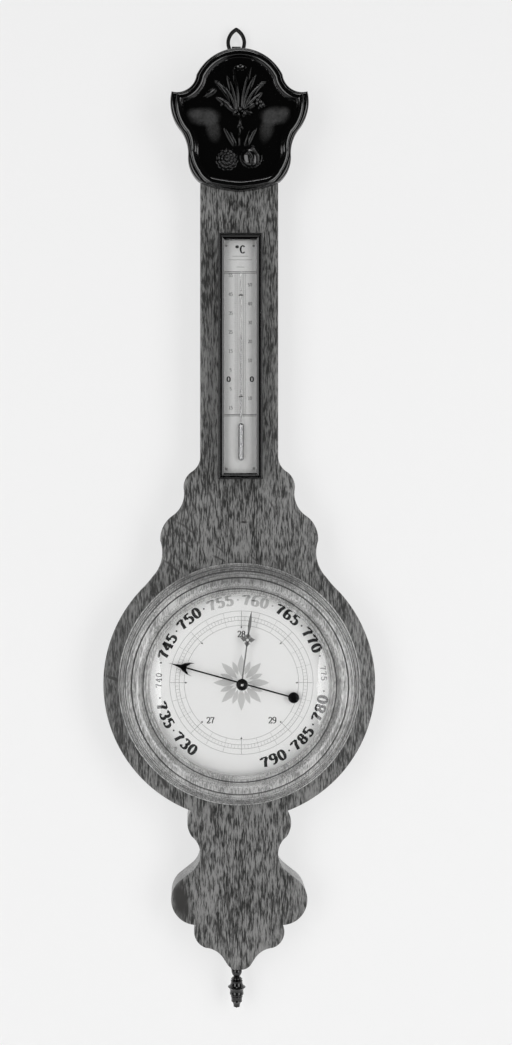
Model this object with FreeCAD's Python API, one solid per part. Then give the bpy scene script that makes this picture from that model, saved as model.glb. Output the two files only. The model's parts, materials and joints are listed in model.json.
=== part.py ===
import FreeCAD, Part
import math
import os

# Banjo barometer: a wall-hung wheel barometer with a thermometer on its trunk.
# Millimetres. The origin lies on the wall, behind the centre of the round board.
# X runs to the right seen from the front, Y runs into the wall and Z runs up.
# A height "proud" is measured forward from the front face of the front board.

# Case; a drop is a height below, and a rise a height above, the level it is named for
BACK_BOARD_T = 22.0
FRONT_BOARD_T = 12.0
TRUNK_HALF = 39.0
TOP_ARCH_MARGIN = 2.0
TRUNK_BOTTOM_Z = 227.4
NECK_X, NECK_DROP, NECK_BULGE = 48.0, 15.4, -2.3
UPPER_LOBE_X, UPPER_LOBE_DROP, UPPER_LOBE_BULGE = 55.5, 33.4, 2.8
SHOULDER_X, SHOULDER_DROP, SHOULDER_BULGE = 66.5, 58.9, -3.9
LOWER_LOBE_X, LOWER_LOBE_DROP, LOWER_LOBE_BULGE = 79.0, 84.4, 3.8
FLANK_X, FLANK_DROP, FLANK_BULGE = 87.0, 120.4, -5.2
DISC_R = 136.1
DISC_START_DEG = 47.0
DISC_START_BULGE = -0.5
TAIL_NECK_X = 48.5
TAIL_BEAD_X, TAIL_BEAD_RISE, TAIL_BEAD_BULGE = 47.5, 133.0, 3.9
TAIL_SCOOP_X, TAIL_SCOOP_RISE, TAIL_SCOOP_BULGE = 48.5, 97.5, -9.0
TAIL_LOBE_X, TAIL_LOBE_RISE = 56.5, 91.1
TAIL_NOTCH_X, TAIL_NOTCH_RISE, TAIL_NOTCH_BULGE = 43.7, 44.6, 17.8
TAIL_FOOT_X, TAIL_FOOT_RISE, TAIL_FOOT_BULGE = 33.5, 21.7, 5.6
TAIL_POINT_X, TAIL_POINT_RISE, TAIL_POINT_BULGE = 16.0, 11.5, -2.3
TAIL_TIP_X, TAIL_TIP_RISE = 11.5, 4.5
CASE_BOTTOM_Z = -286.0
CASE_BOTTOM_BULGE = 1.8

# Channel in the back of the case and the cover over it
CHANNEL_HALF = 28.5
CHANNEL_END_GAP = 8.0
TOP_WALL = 32.9
CHANNEL_FOOT = 34.0
CHAMBER_R = 46.0
COVER_T = 3.0
COVER_LAND = 5.0
COVER_GAP = 0.2
COVER_SCREW_R = 1.5
COVER_SCREW_HEAD_R = 2.4
COVER_SCREW_LENGTH = 14.0
COVER_SCREW_COUNT = 5
COVER_SCREW_END = 12.0

# Pediment with its raised bead and its carving; a drop is a height below the top of the case
PEDIMENT_BAND_P = 9.0
PEDIMENT_BEAD_P = 14.0
PEDIMENT_FIELD_P = 6.0
PEDIMENT_ARCH_MARGIN = 6.9
PEDIMENT_ARCH_X_MARGIN = 4.0
HORN_X, HORN_DROP, HORN_BULGE = 67.7, 36.3, -6.8
HORN_FOOT_X, HORN_FOOT_DROP, HORN_FOOT_BULGE = 59.5, 73.4, 4.5
PEDIMENT_WAIST_X, PEDIMENT_WAIST_DROP, PEDIMENT_WAIST_BULGE = 51.2, 99.4, -2.3
PEDIMENT_CORNER_X, PEDIMENT_CORNER_DROP, PEDIMENT_CORNER_BULGE = 43.4, 124.8, 3.2
PEDIMENT_BOTTOM_DROP = 135.3
BEAD_INSET = 6.0
BEAD_ARCH_X_INSET = 1.0
BEAD_HORN_X, BEAD_HORN_DROP, BEAD_HORN_BULGE = 60.3, 42.9, -5.5
BEAD_FOOT_X, BEAD_FOOT_DROP, BEAD_FOOT_BULGE = 50.0, 76.4, 4.0
BEAD_WAIST_X, BEAD_WAIST_DROP, BEAD_WAIST_BULGE = 45.8, 98.4, -1.8
BEAD_CORNER_X, BEAD_CORNER_DROP, BEAD_CORNER_BULGE = 36.0, 120.9, 3.3
BEAD_BOTTOM_DROP = 129.9
BEAD_HALF = 2.6
BEAD_ROUND = 1.6
LEAF_ROOT_DROP = 55.4
LEAF_START = 2.5
LEAF_R = 3.6
LEAF_SPREAD_DEG = 27.0
LEAF_LENGTHS = (26.0, 32.0, 38.0, 43.0, 38.0, 32.0, 26.0)
SPRAY_ROOT_DROP = 92.4
SPRAY_START = 1.5
SPRAY_LENGTH = 19.0
SPRAY_SPREAD_DEG = 38.0
SPRAY_R = 2.8
FRUIT_X = 12.5
LEFT_FRUIT_DROP = 100.9
RIGHT_FRUIT_DROP = 98.9
LEFT_FRUIT_R = 10.5
RIGHT_FRUIT_R = 11.5
BERRY_R = 4.2
BERRY_X = 20.0
BERRY_DROP = 49.9
KNOT_R = 5.0
CARVING_SINK = 0.25
BOSS_LENGTH = 12.0
BOSS_R = 3.0
BOSS_DROP = 13.4
LOBE_PROFILE = ((0, 0), (0.55, 0.22), (1, 0.6), (0.72, 0.85), (0, 1))
PEDIMENT_SCREW_X = 11.0
PEDIMENT_SCREW_DROPS = (116.9, 46.9)
PEDIMENT_SCREW_R = 2.0
PEDIMENT_SCREW_HEAD_R = 3.6
PEDIMENT_SCREW_GRIP = 5.0

# Hanger plate and ring
HANGER_X = -2.0
HANGER_W = 24.0
HANGER_T = 2.0
HANGER_BOTTOM_DROP = 25.4
HANGER_TOP_DROP = 3.0
HANGER_NECK_W = 9.0
RING_AXIS_RISE = 17.1
RING_AXIS_Y = -4.3
RING_WIRE_R = 1.95
RING_CLEARANCE = 0.06
KNUCKLE_WALL = 1.9
RING_BAR_HALF = 6.0
RING_HALF_W = 8.2
RING_WIDE_RISE = 9.5
RING_TIP_RISE = 21.5
RING_LOW_BELLY = (0.78, 0.42)
RING_HIGH_BELLY = (0.66, 0.6)
HANGER_SCREW_X = 7.0
HANGER_SCREW_DROP = 15.4
HANGER_SCREW_R = 1.8
HANGER_SCREW_HEAD_R = 3.2
HANGER_SCREW_LENGTH = 16.0

# Finial: half-widths and how far each lies below the case
FINIAL_X = -2.0
FINIAL_COLLAR_R = 5.9
FINIAL_COLLAR_H = 5.1
FINIAL_SEAT_GAP = 0.3
FINIAL_NECK_R = 3.2
FINIAL_NECK_DROP = 12.0
FINIAL_NECK_FLARE = (1.0, 2.2)
FINIAL_SHOULDER_R = 6.3
FINIAL_SHOULDER_DROP = 16.6
FINIAL_SHOULDER_FLARE = (0.6, 2.4)
FINIAL_BALL_R = 8.9
FINIAL_BALL_DROP = 22.7
FINIAL_WAIST_R = 6.3
FINIAL_WAIST_DROP = 30.6
FINIAL_WAIST_H = 2.0
FINIAL_TOE_R = 4.8
FINIAL_TOE_DROP = 37.0
FINIAL_TOE_SWELL = (0.5, 3.0)
FINIAL_TIP_PROFILE = ((0.9, 0.62), (0.67, 0.29), (0.33, 0.07))
FINIAL_LENGTH = 44.6
FINIAL_DOWEL_R = 3.0
FINIAL_DOWEL_LENGTH = 14.0

# Bezel, glass and dial
BEZEL_R = 121.0
BEZEL_OUTER_BEAD_P = 4.2
BEZEL_OUTER_BEAD_H = 2.0
BEZEL_OUTER_BEAD_W = 3.3
BEZEL_OUTER_TOP_INSET = 1.2
BEZEL_QUIRK = 0.8
BEZEL_MID_BEAD_INSET = 5.0
BEZEL_MID_BEAD_P = 9.6
BEZEL_MID_BEAD_H = 3.4
BEZEL_MID_BEAD_OUT = 1.6
BEZEL_MID_BEAD_IN = 2.2
BEZEL_MID_TOP_OUT = 0.4
BEZEL_MID_FALL = 0.6
BEZEL_CREST_INSET = 10.5
BEZEL_CREST_P = 19.0
BEZEL_CREST_H = 4.6
BEZEL_CREST_OUT = 2.6
BEZEL_CREST_IN = 2.4
BEZEL_CREST_FALL = 1.4
BEZEL_COVE_INSET = 14.5
BEZEL_COVE_EDGE_W = 0.7
BEZEL_COVE_EDGE_H = 1.8
BEZEL_COVE_EDGE_FALL = 0.2
BEZEL_COVE_HOLLOW = (4.4, 1.7)
BEZEL_COVE_FOOT_INSET = 24.5
BEZEL_COVE_FOOT_P = 13.0
BEZEL_COVE_QUIRK_W = 0.7
BEZEL_LIP_INSET = 28.0
BEZEL_LIP_P = 14.6
BEZEL_LIP_HALF = 2.0
BEZEL_LIP_FALL = 1.2
BEZEL_APERTURE_INSET = 31.0
BEZEL_APERTURE_EASE = 1.0
BEZEL_LIP_BACK_P = 9.5
DOWEL_R = 3.0
DOWEL_RING_INSET = 12.0
DOWEL_DEPTH = 8.0
DOWEL_COUNT = 4
GLASS_T = 2.0
GLASS_SEAT_W = 4.0
GLASS_GAP = 0.2
GLASS_RISE = 8.0
GLASS_LIP_GAP = 0.5
RETAINER_W = 3.0
RETAINER_T = 3.8
DIAL_MARGIN = 5.0
DIAL_T = 1.5
DIAL_RECESS_GAP = 0.4
DIAL_HOLE_GAP = 1.5
DIAL_PIN_R = 0.8
PIN_HEAD_R = 1.6
PIN_HEAD_GAP = 0.4
DIAL_PIN_INSET = 2.2
DIAL_PIN_DEPTH = 5.0
DIAL_PIN_COUNT = 4

# Movement: the hands turn on an axis a little right of and above the board's centre
PIVOT_X = 2.0
PIVOT_Z = 1.5
ARBOR_R = 1.0
ARBOR_BODY_R = 1.5
ARBOR_PIVOT_R = 0.8
ARBOR_TIP_P = 7.6
RUNNING_GAP = 0.05
ARBOR_HOLE_R = 5.0
BEARING_PLATE_R = 15.0
BEARING_PLATE_T = 1.5
BEARING_SCREW_RING_R = 11.0
BEARING_SCREW_R = 1.1
BEARING_SCREW_COUNT = 3
BRIDGE_W = 8.0
BRIDGE_T = 1.6
BRIDGE_SPAN = 17.5
BRIDGE_FOOT = 9.5
BRIDGE_BACK_Y = -4.4
SMALL_SCREW_R = 1.2
SMALL_SCREW_HEAD_R = 2.2
SMALL_SCREW_HEAD_T = 1.2
SMALL_SCREW_DEPTH = 7.0
PULLEY_R = 5.8
PULLEY_FLANGE_R = 7.4
PULLEY_FLANGE_T = 0.9
PULLEY_GROOVE_W = 2.0
PULLEY_START_Y = -14.4
THREAD_R = 0.25
THREAD_GAP = 0.05

# Index hand, pointing up before it is turned to its reading
INDEX_REST_DEG = -74.5
INDEX_P = 6.0
INDEX_T = 0.6
INDEX_MARGIN = 18.7
INDEX_HEAD = 14.3
INDEX_HEAD_HALF = 2.2
INDEX_HORN_BACK = 24.0
INDEX_HORN_HALF = 4.7
INDEX_SHAFT_W = 1.5
INDEX_TAIL = 53.7
INDEX_DISC_R = 5.5
COLLET_R = 3.4
COLLET_H = 2.2

# Set hand and its knob on the glass
SET_REST_DEG = 7.7
SET_P = 8.8
SET_T = 0.6
SET_MARGIN = 22.0
SET_BLADE_HALF = 1.5
SET_CROSS_AT = 43.6
SET_CROSS_REACH = 7.6
SET_CROSS_HOLE_R = 1.4
SET_LEAF_HALF = 2.0
SET_SHAFT_W = 1.3
SET_HUB_R = 4.0
SPINDLE_R = 1.5
KNOB_R = 5.8
KNOB_T = 2.6
KNOB_CAP_R = 1.9
WASHER_R = 3.6
WASHER_GAP = 0.1

# Siphon tube, mercury, float and counterweight
TUBE_Y = -12.5
TUBE_R = 4.5
TUBE_BORE_R = 3.8
LONG_ARM_X = 20.5
SHORT_ARM_TOP_Z = -45.0
BEND_RISE = 17.0
VACUUM_H = 18.0
LOWER_LEVEL_Z = -175.0
MERCURY_HEIGHT = 743.0
CISTERN_DEPTH = 30.0
FLOAT_R = 2.8
FLOAT_LENGTH = 14.0
FLOAT_GAP = 0.3
FLOAT_EYE_R = 0.9
COUNTERWEIGHT_DROP = 62.0
BLOCK_HALF = 7.6
BLOCK_H = 16.0
LONG_BLOCK_DROPS = (41.0, 241.0, 441.0, 736.0)
SHORT_BLOCKS_Z = (-95.0, -215.0)
STRAP_T = 0.8
STRAP_H = 8.0
STRAP_PIN_R = 0.6
STRAP_PIN_LENGTH = 6.0

# Thermometer
THERMO_X = 0.6
THERMO_DROP = 178.6
THERMO_H = 243.7
THERMO_W = 43.9
THERMO_FRAME_P = 14.0
THERMO_FACE = 5.8
THERMO_REBATE = 2.0
THERMO_LIP_P = 10.0
THERMO_GLASS_T = 1.5
THERMO_SCALE_T = 1.8
THERMO_GAP = 0.1
SPACER_W = 1.4
STEM_X = 1.5
STEM_P = 5.0
STEM_R = 1.4
STEM_BORE_R = 0.45
STEM_TOP_RISE = 206.4
STEM_END_WALL = 4.0
BULB_R = 3.1
BULB_WALL = 0.5
BULB_BOTTOM_RISE = 18.2
BULB_TOP_RISE = 56.1
READING_RISE = 142.1
TIE_WIRE_R = 0.35
TIE_RISES = (82.3, 183.2)
SCALE_PIN_R = 0.6
SCALE_PIN_HEAD_R = 1.2
SCALE_PIN_X = 13.5
SCALE_PIN_INSET = 5.0

# Overrun of every cutter past the face it cuts
OVERRUN = 1.0

# Driver slots of all the screws
SLOT_W = 0.7
SLOT_DEPTH = 0.6

CASE_DEPTH = BACK_BOARD_T + FRONT_BOARD_T
FRONT_BACK_Y = -BACK_BOARD_T
GLASS_P = BEZEL_LIP_BACK_P
TOP_GLASS_P = GLASS_P + GLASS_RISE
TUBE_TOP_Z = LOWER_LEVEL_Z + MERCURY_HEIGHT + VACUUM_H
CHANNEL_TOP_Z = TUBE_TOP_Z + CHANNEL_END_GAP
CHANNEL_BOTTOM_Z = CASE_BOTTOM_Z + CHANNEL_FOOT
BEND_Z = CHANNEL_BOTTOM_Z + BEND_RISE
CASE_TOP_Z = CHANNEL_TOP_Z + TOP_WALL
CASE_TOP_R = TRUNK_HALF + TOP_ARCH_MARGIN
PEDIMENT_ARCH_R = CASE_TOP_R + PEDIMENT_ARCH_MARGIN
PEDIMENT_ARCH_X = TRUNK_HALF + PEDIMENT_ARCH_X_MARGIN
BEAD_ARCH_X = TRUNK_HALF - BEAD_ARCH_X_INSET
APERTURE_R = BEZEL_R - BEZEL_APERTURE_INSET
GLASS_R = APERTURE_R + GLASS_SEAT_W
GLASS_FLAT_R = APERTURE_R - GLASS_LIP_GAP
DIAL_R = APERTURE_R + DIAL_MARGIN
INDEX_LENGTH = DIAL_R - INDEX_MARGIN
SET_LENGTH = DIAL_R - SET_MARGIN
THERMO_TOP_Z = CASE_TOP_Z - THERMO_DROP
THERMO_BOTTOM_Z = THERMO_TOP_Z - THERMO_H
STEM_TOP_Z = THERMO_BOTTOM_Z + STEM_TOP_RISE
BULB_BOTTOM_Z = THERMO_BOTTOM_Z + BULB_BOTTOM_RISE
BULB_TOP_Z = THERMO_BOTTOM_Z + BULB_TOP_RISE
READING_Z = THERMO_BOTTOM_Z + READING_RISE
TIE_Z = [THERMO_BOTTOM_Z + rise for rise in TIE_RISES]


def vec(x, y, z):
    return FreeCAD.Vector(x, y, z)


def front(proud):
    """Y of a plane that stands the given height proud of the front board."""
    return -CASE_DEPTH - proud


def below_top(drop):
    """Z of a point at the given drop below the top of the case."""
    return CASE_TOP_Z - drop


def bulged_edge(a, b, bulge, y):
    """Edge from a to b, each (x, z); a positive bulge swells away from the axis on the way down."""
    start, end = vec(a[0], y, a[1]), vec(b[0], y, b[1])
    if bulge == 0:
        return Part.LineSegment(start, end).toShape()
    run_x, run_z = b[0] - a[0], b[1] - a[1]
    run = math.hypot(run_x, run_z)
    middle = vec((a[0] + b[0]) / 2 - bulge * run_z / run, y, (a[1] + b[1]) / 2 + bulge * run_x / run)
    return Part.Arc(start, middle, end).toShape()


def mirrored_face(start, steps, y):
    """Face with the right side given from its top to its bottom, and the left side its mirror image."""
    edges = []
    a = start
    for b, bulge in steps:
        edges.append(bulged_edge(a, b, bulge, y))
        edges.append(bulged_edge((-a[0], a[1]), (-b[0], b[1]), -bulge, y))
        a = b
    return Part.Face(Part.Wire(Part.__sortEdges__(edges)))


def slab(face, thickness):
    """Solid from a face in an XZ plane, grown towards the front."""
    return face.extrude(vec(0, -thickness, 0))


def box(x0, x1, y0, y1, z0, z1):
    return Part.makeBox(x1 - x0, y1 - y0, z1 - z0, vec(x0, y0, z0))


def rod(x, z, radius, y0, y1):
    """Cylinder along Y from y0 to y1."""
    return Part.makeCylinder(radius, y1 - y0, vec(x, y0, z), vec(0, 1, 0))


def post(x, y, radius, z0, z1):
    """Cylinder along Z from z0 to z1."""
    return Part.makeCylinder(radius, z1 - z0, vec(x, y, z0), vec(0, 0, 1))


def turned(profile, x=0.0, z=0.0):
    """Solid of revolution about the Y axis through (x, z); the profile holds (radius, y) points,
    and a (middle, end) pair is an arc."""
    edges = []
    points = profile + [profile[0]]
    a = points[0]
    for item in points[1:]:
        if isinstance(item[0], tuple):
            middle, b = item
            edges.append(Part.Arc(vec(x + a[0], a[1], z), vec(x + middle[0], middle[1], z),
                                  vec(x + b[0], b[1], z)).toShape())
        else:
            b = item
            edges.append(Part.makeLine(vec(x + a[0], a[1], z), vec(x + b[0], b[1], z)))
        a = b
    return Part.Face(Part.Wire(edges)).revolve(vec(x, 0, z), vec(0, 1, 0), 360)


def spun(profile, x, y):
    """Solid of revolution about a vertical axis through (x, y); the profile holds (radius, z) points
    and (middle, end) arcs, from the axis back to the axis."""
    edges = []
    a = profile[0]
    for item in profile[1:] + [profile[0]]:
        if isinstance(item[0], tuple):
            middle, b = item
            edges.append(Part.Arc(vec(x + a[0], y, a[1]), vec(x + middle[0], y, middle[1]),
                                  vec(x + b[0], y, b[1])).toShape())
        else:
            b = item
            edges.append(Part.makeLine(vec(x + a[0], y, a[1]), vec(x + b[0], y, b[1])))
        a = b
    return Part.Face(Part.Wire(edges)).revolve(vec(x, y, 0), vec(0, 0, 1), 360)


def wood_screw(x, z, y_head, shank_r, head_r, length, forward=True):
    """Countersunk screw along Y with its head's face at y_head, and its point towards the front."""
    head_h = head_r - shank_r
    way = -1 if forward else 1
    shank = Part.makeCylinder(shank_r, length - 2 * shank_r, vec(x, y_head, z), vec(0, way, 0))
    head = Part.makeCone(head_r, shank_r, head_h, vec(x, y_head, z), vec(0, way, 0))
    point = Part.makeCone(shank_r, 0, 2 * shank_r, vec(x, y_head + way * (length - 2 * shank_r), z),
                          vec(0, way, 0))
    return shank.fuse([head, point]).removeSplitter()


def screw_slot(x, z, y_head, head_r, forward=True):
    """Driver slot across a screw head."""
    way = -1 if forward else 1
    y0, y1 = sorted((y_head - way * SLOT_DEPTH, y_head + way * SLOT_DEPTH))
    return box(x - head_r, x + head_r, y0, y1, z - SLOT_W / 2, z + SLOT_W / 2)


def board_outline(y):
    """Outline of the whole case: arched top, trunk, shoulders, round board and shaped tail."""
    arch_z = CASE_TOP_Z - CASE_TOP_R
    arch_end_z = arch_z + math.sqrt(CASE_TOP_R ** 2 - TRUNK_HALF ** 2)
    half_chord = math.hypot(TRUNK_HALF, CASE_TOP_Z - arch_end_z) / 2
    arch_bulge = CASE_TOP_R - math.sqrt(CASE_TOP_R ** 2 - half_chord ** 2)
    start_angle = math.radians(DISC_START_DEG)
    end_angle = math.pi - math.asin(TAIL_NECK_X / DISC_R)
    disc_start = (DISC_R * math.sin(start_angle), DISC_R * math.cos(start_angle))
    disc_end = (TAIL_NECK_X, DISC_R * math.cos(end_angle))
    disc_bulge = DISC_R * (1 - math.cos((end_angle - start_angle) / 2))
    steps = [
        ((TRUNK_HALF, arch_end_z), arch_bulge),
        ((TRUNK_HALF, TRUNK_BOTTOM_Z), 0),
        ((NECK_X, TRUNK_BOTTOM_Z - NECK_DROP), NECK_BULGE),
        ((UPPER_LOBE_X, TRUNK_BOTTOM_Z - UPPER_LOBE_DROP), UPPER_LOBE_BULGE),
        ((SHOULDER_X, TRUNK_BOTTOM_Z - SHOULDER_DROP), SHOULDER_BULGE),
        ((LOWER_LOBE_X, TRUNK_BOTTOM_Z - LOWER_LOBE_DROP), LOWER_LOBE_BULGE),
        ((FLANK_X, TRUNK_BOTTOM_Z - FLANK_DROP), FLANK_BULGE),
        (disc_start, DISC_START_BULGE),
        (disc_end, disc_bulge),
        ((TAIL_BEAD_X, CASE_BOTTOM_Z + TAIL_BEAD_RISE), TAIL_BEAD_BULGE),
        ((TAIL_SCOOP_X, CASE_BOTTOM_Z + TAIL_SCOOP_RISE), TAIL_SCOOP_BULGE),
        ((TAIL_LOBE_X, CASE_BOTTOM_Z + TAIL_LOBE_RISE), 0),
        ((TAIL_NOTCH_X, CASE_BOTTOM_Z + TAIL_NOTCH_RISE), TAIL_NOTCH_BULGE),
        ((TAIL_FOOT_X, CASE_BOTTOM_Z + TAIL_FOOT_RISE), TAIL_FOOT_BULGE),
        ((TAIL_POINT_X, CASE_BOTTOM_Z + TAIL_POINT_RISE), TAIL_POINT_BULGE),
        ((TAIL_TIP_X, CASE_BOTTOM_Z + TAIL_TIP_RISE), 0),
        ((0, CASE_BOTTOM_Z), CASE_BOTTOM_BULGE),
    ]
    return mirrored_face((0, CASE_TOP_Z), steps, y)


def pediment_screw_places():
    return [(side * PEDIMENT_SCREW_X, below_top(drop)) for side in (-1, 1) for drop in PEDIMENT_SCREW_DROPS]


def dowel_places():
    ring = BEZEL_R - DOWEL_RING_INSET
    return [(ring * math.sin(math.radians(45 + 360 / DOWEL_COUNT * i)),
             ring * math.cos(math.radians(45 + 360 / DOWEL_COUNT * i)))
            for i in range(DOWEL_COUNT)]


def dial_pin_places():
    ring = DIAL_R - DIAL_PIN_INSET
    return [(PIVOT_X + ring * math.sin(math.radians(360 / DIAL_PIN_COUNT * (i + 0.5))),
             PIVOT_Z + ring * math.cos(math.radians(360 / DIAL_PIN_COUNT * (i + 0.5))))
            for i in range(DIAL_PIN_COUNT)]


def bearing_screw_places():
    return [(PIVOT_X + BEARING_SCREW_RING_R * math.sin(math.radians(90 + 360 / BEARING_SCREW_COUNT * i)),
             PIVOT_Z + BEARING_SCREW_RING_R * math.cos(math.radians(90 + 360 / BEARING_SCREW_COUNT * i)))
            for i in range(BEARING_SCREW_COUNT)]


def bridge_screw_places():
    return [(PIVOT_X, PIVOT_Z + side * (BRIDGE_SPAN + BRIDGE_FOOT / 2)) for side in (-1, 1)]


def scale_pin_places():
    sight_bottom = THERMO_BOTTOM_Z + THERMO_FACE + SCALE_PIN_INSET
    sight_top = THERMO_TOP_Z - THERMO_FACE - SCALE_PIN_INSET
    return [(THERMO_X + side * SCALE_PIN_X, z) for side in (-1, 1) for z in (sight_bottom, sight_top)]


def finial_seat():
    """Flat that is cut across the point of the tail for the collar of the finial."""
    return post(FINIAL_X, -CASE_DEPTH / 2, FINIAL_COLLAR_R + FINIAL_SEAT_GAP,
                CASE_BOTTOM_Z - CASE_BOTTOM_BULGE, CASE_BOTTOM_Z)


def build_front_board():
    """Shaped plank that carries the dial, the thermometer and the pediment."""
    board = slab(board_outline(FRONT_BACK_Y), FRONT_BOARD_T)
    holes = [rod(PIVOT_X, PIVOT_Z, ARBOR_HOLE_R, front(OVERRUN), FRONT_BACK_Y + OVERRUN), finial_seat()]
    for x, z in pediment_screw_places():
        holes.append(rod(x, z, PEDIMENT_SCREW_R, front(OVERRUN), FRONT_BACK_Y + OVERRUN))
        head_h = PEDIMENT_SCREW_HEAD_R - PEDIMENT_SCREW_R
        holes.append(Part.makeCone(PEDIMENT_SCREW_HEAD_R, PEDIMENT_SCREW_R, head_h,
                                   vec(x, FRONT_BACK_Y, z), vec(0, -1, 0)))
    for x, z in dowel_places():
        holes.append(rod(x, z, DOWEL_R, front(OVERRUN), front(-DOWEL_DEPTH)))
    for x, z in dial_pin_places():
        holes.append(rod(x, z, DIAL_PIN_R, front(OVERRUN), front(-DIAL_PIN_DEPTH)))
    for x, z in scale_pin_places():
        holes.append(rod(x, z, SCALE_PIN_R, front(OVERRUN), front(-DIAL_PIN_DEPTH)))
    for x, z in bearing_screw_places():
        holes.append(rod(x, z, BEARING_SCREW_R, FRONT_BACK_Y - SMALL_SCREW_DEPTH, FRONT_BACK_Y + OVERRUN))
    for x, z in bridge_screw_places():
        holes.append(rod(x, z, SMALL_SCREW_R, FRONT_BACK_Y - SMALL_SCREW_DEPTH, FRONT_BACK_Y + OVERRUN))
    return board.cut(holes)


def channel_face(margin, y):
    """Shape of the channel and chamber, grown outwards by a margin."""
    half = CHANNEL_HALF + margin
    radius = CHAMBER_R + margin
    meet_z = math.sqrt(radius ** 2 - half ** 2)
    top = (half, CHANNEL_TOP_Z + margin)
    bottom = (half, CHANNEL_BOTTOM_Z - margin)
    steps = [
        (top, 0),
        ((half, meet_z), 0),
        ((half, -meet_z), radius - half),
        (bottom, 0),
        ((0, bottom[1]), 0),
    ]
    return mirrored_face((0, top[1]), steps, y)


def cover_screw_places():
    """Screws down both long edges, in the middle of the land that the cover rests on."""
    x = CHANNEL_HALF + COVER_LAND / 2
    low = CHANNEL_BOTTOM_Z + COVER_SCREW_END
    step = (CHANNEL_TOP_Z - COVER_SCREW_END - low) / (COVER_SCREW_COUNT - 1)
    return [(side * x, low + step * i) for side in (-1, 1) for i in range(COVER_SCREW_COUNT)
            if abs(low + step * i) > CHAMBER_R]


def hanger_screw_places():
    return [(HANGER_X + side * HANGER_SCREW_X, below_top(HANGER_SCREW_DROP)) for side in (-1, 1)]


def build_back_board():
    """Thick back plank, cut through for the tube and the movement, with a rebate for its cover."""
    board = slab(board_outline(0), BACK_BOARD_T)
    board = board.cut(slab(channel_face(0, OVERRUN), BACK_BOARD_T + 2 * OVERRUN))
    board = board.cut(slab(channel_face(COVER_LAND, OVERRUN), COVER_T + OVERRUN))
    holes = [box(HANGER_X - HANGER_W / 2, HANGER_X + HANGER_W / 2, -HANGER_T, OVERRUN,
                 below_top(HANGER_BOTTOM_DROP), CASE_TOP_Z + OVERRUN)]
    for x, z in cover_screw_places():
        holes.append(rod(x, z, COVER_SCREW_R, -COVER_SCREW_LENGTH, OVERRUN))
    for x, z in hanger_screw_places():
        holes.append(rod(x, z, HANGER_SCREW_R, -HANGER_SCREW_LENGTH, OVERRUN))
    holes.append(post(FINIAL_X, -CASE_DEPTH / 2, FINIAL_DOWEL_R,
                      CASE_BOTTOM_Z - OVERRUN, CASE_BOTTOM_Z + FINIAL_DOWEL_LENGTH))
    holes.append(finial_seat())
    return board.cut(holes)


def build_back_cover():
    """Thin cover over the channel, flush with the back of the case."""
    cover = slab(channel_face(COVER_LAND - COVER_GAP, 0), COVER_T)
    holes = []
    for x, z in cover_screw_places():
        holes.append(rod(x, z, COVER_SCREW_R, -COVER_T - OVERRUN, OVERRUN))
        holes.append(Part.makeCone(COVER_SCREW_HEAD_R, COVER_SCREW_R, COVER_SCREW_HEAD_R - COVER_SCREW_R,
                                   vec(x, 0, z), vec(0, -1, 0)))
    return cover.cut(holes)


def build_back_cover_screws():
    return [wood_screw(x, z, 0, COVER_SCREW_R, COVER_SCREW_HEAD_R, COVER_SCREW_LENGTH)
            .cut(screw_slot(x, z, 0, COVER_SCREW_HEAD_R)) for x, z in cover_screw_places()]


def pediment_outline(y):
    """Outer edge of the pediment: round arch, two horns, waist and shallow pointed foot."""
    arch_z = below_top(CASE_TOP_R)
    arch_end = (PEDIMENT_ARCH_X, arch_z + math.sqrt(PEDIMENT_ARCH_R ** 2 - PEDIMENT_ARCH_X ** 2))
    top = (0, arch_z + PEDIMENT_ARCH_R)
    steps = [
        (arch_end, arch_bulge(top, arch_end, PEDIMENT_ARCH_R)),
        ((HORN_X, below_top(HORN_DROP)), HORN_BULGE),
        ((HORN_FOOT_X, below_top(HORN_FOOT_DROP)), HORN_FOOT_BULGE),
        ((PEDIMENT_WAIST_X, below_top(PEDIMENT_WAIST_DROP)), PEDIMENT_WAIST_BULGE),
        ((PEDIMENT_CORNER_X, below_top(PEDIMENT_CORNER_DROP)), PEDIMENT_CORNER_BULGE),
        ((0, below_top(PEDIMENT_BOTTOM_DROP)), 0),
    ]
    return mirrored_face(top, steps, y)


def arch_bulge(a, b, radius):
    """Height of an arc of the given radius over the chord from a to b."""
    half = math.hypot(b[0] - a[0], b[1] - a[1]) / 2
    return radius - math.sqrt(radius ** 2 - half ** 2)


def bead_outline(offset, y):
    """Middle line of the pediment's bead, grown outwards by an offset."""
    radius = PEDIMENT_ARCH_R - BEAD_INSET
    arch_z = below_top(CASE_TOP_R)
    arch_end = (BEAD_ARCH_X, arch_z + math.sqrt(radius ** 2 - BEAD_ARCH_X ** 2))
    top = (0, arch_z + radius)
    steps = [
        (arch_end, arch_bulge(top, arch_end, radius)),
        ((BEAD_HORN_X, below_top(BEAD_HORN_DROP)), BEAD_HORN_BULGE),
        ((BEAD_FOOT_X, below_top(BEAD_FOOT_DROP)), BEAD_FOOT_BULGE),
        ((BEAD_WAIST_X, below_top(BEAD_WAIST_DROP)), BEAD_WAIST_BULGE),
        ((BEAD_CORNER_X, below_top(BEAD_CORNER_DROP)), BEAD_CORNER_BULGE),
        ((0, below_top(BEAD_BOTTOM_DROP)), 0),
    ]
    face = mirrored_face(top, steps, y)
    wire = face.OuterWire.makeOffset2D(offset, 0, False, False)
    return Part.Face(wire)


def spindle(root, angle_deg, start, length, radius, y):
    """Leaf lobe: a round spindle pointing away from its root, its angle clockwise from straight up."""
    x, z = root
    profile = [(radius * r, z + start + (length - start) * share) for r, share in LOBE_PROFILE]
    body = spun(profile, x, y)
    body.rotate(vec(x, y, z), vec(0, 1, 0), angle_deg)
    return body


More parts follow.
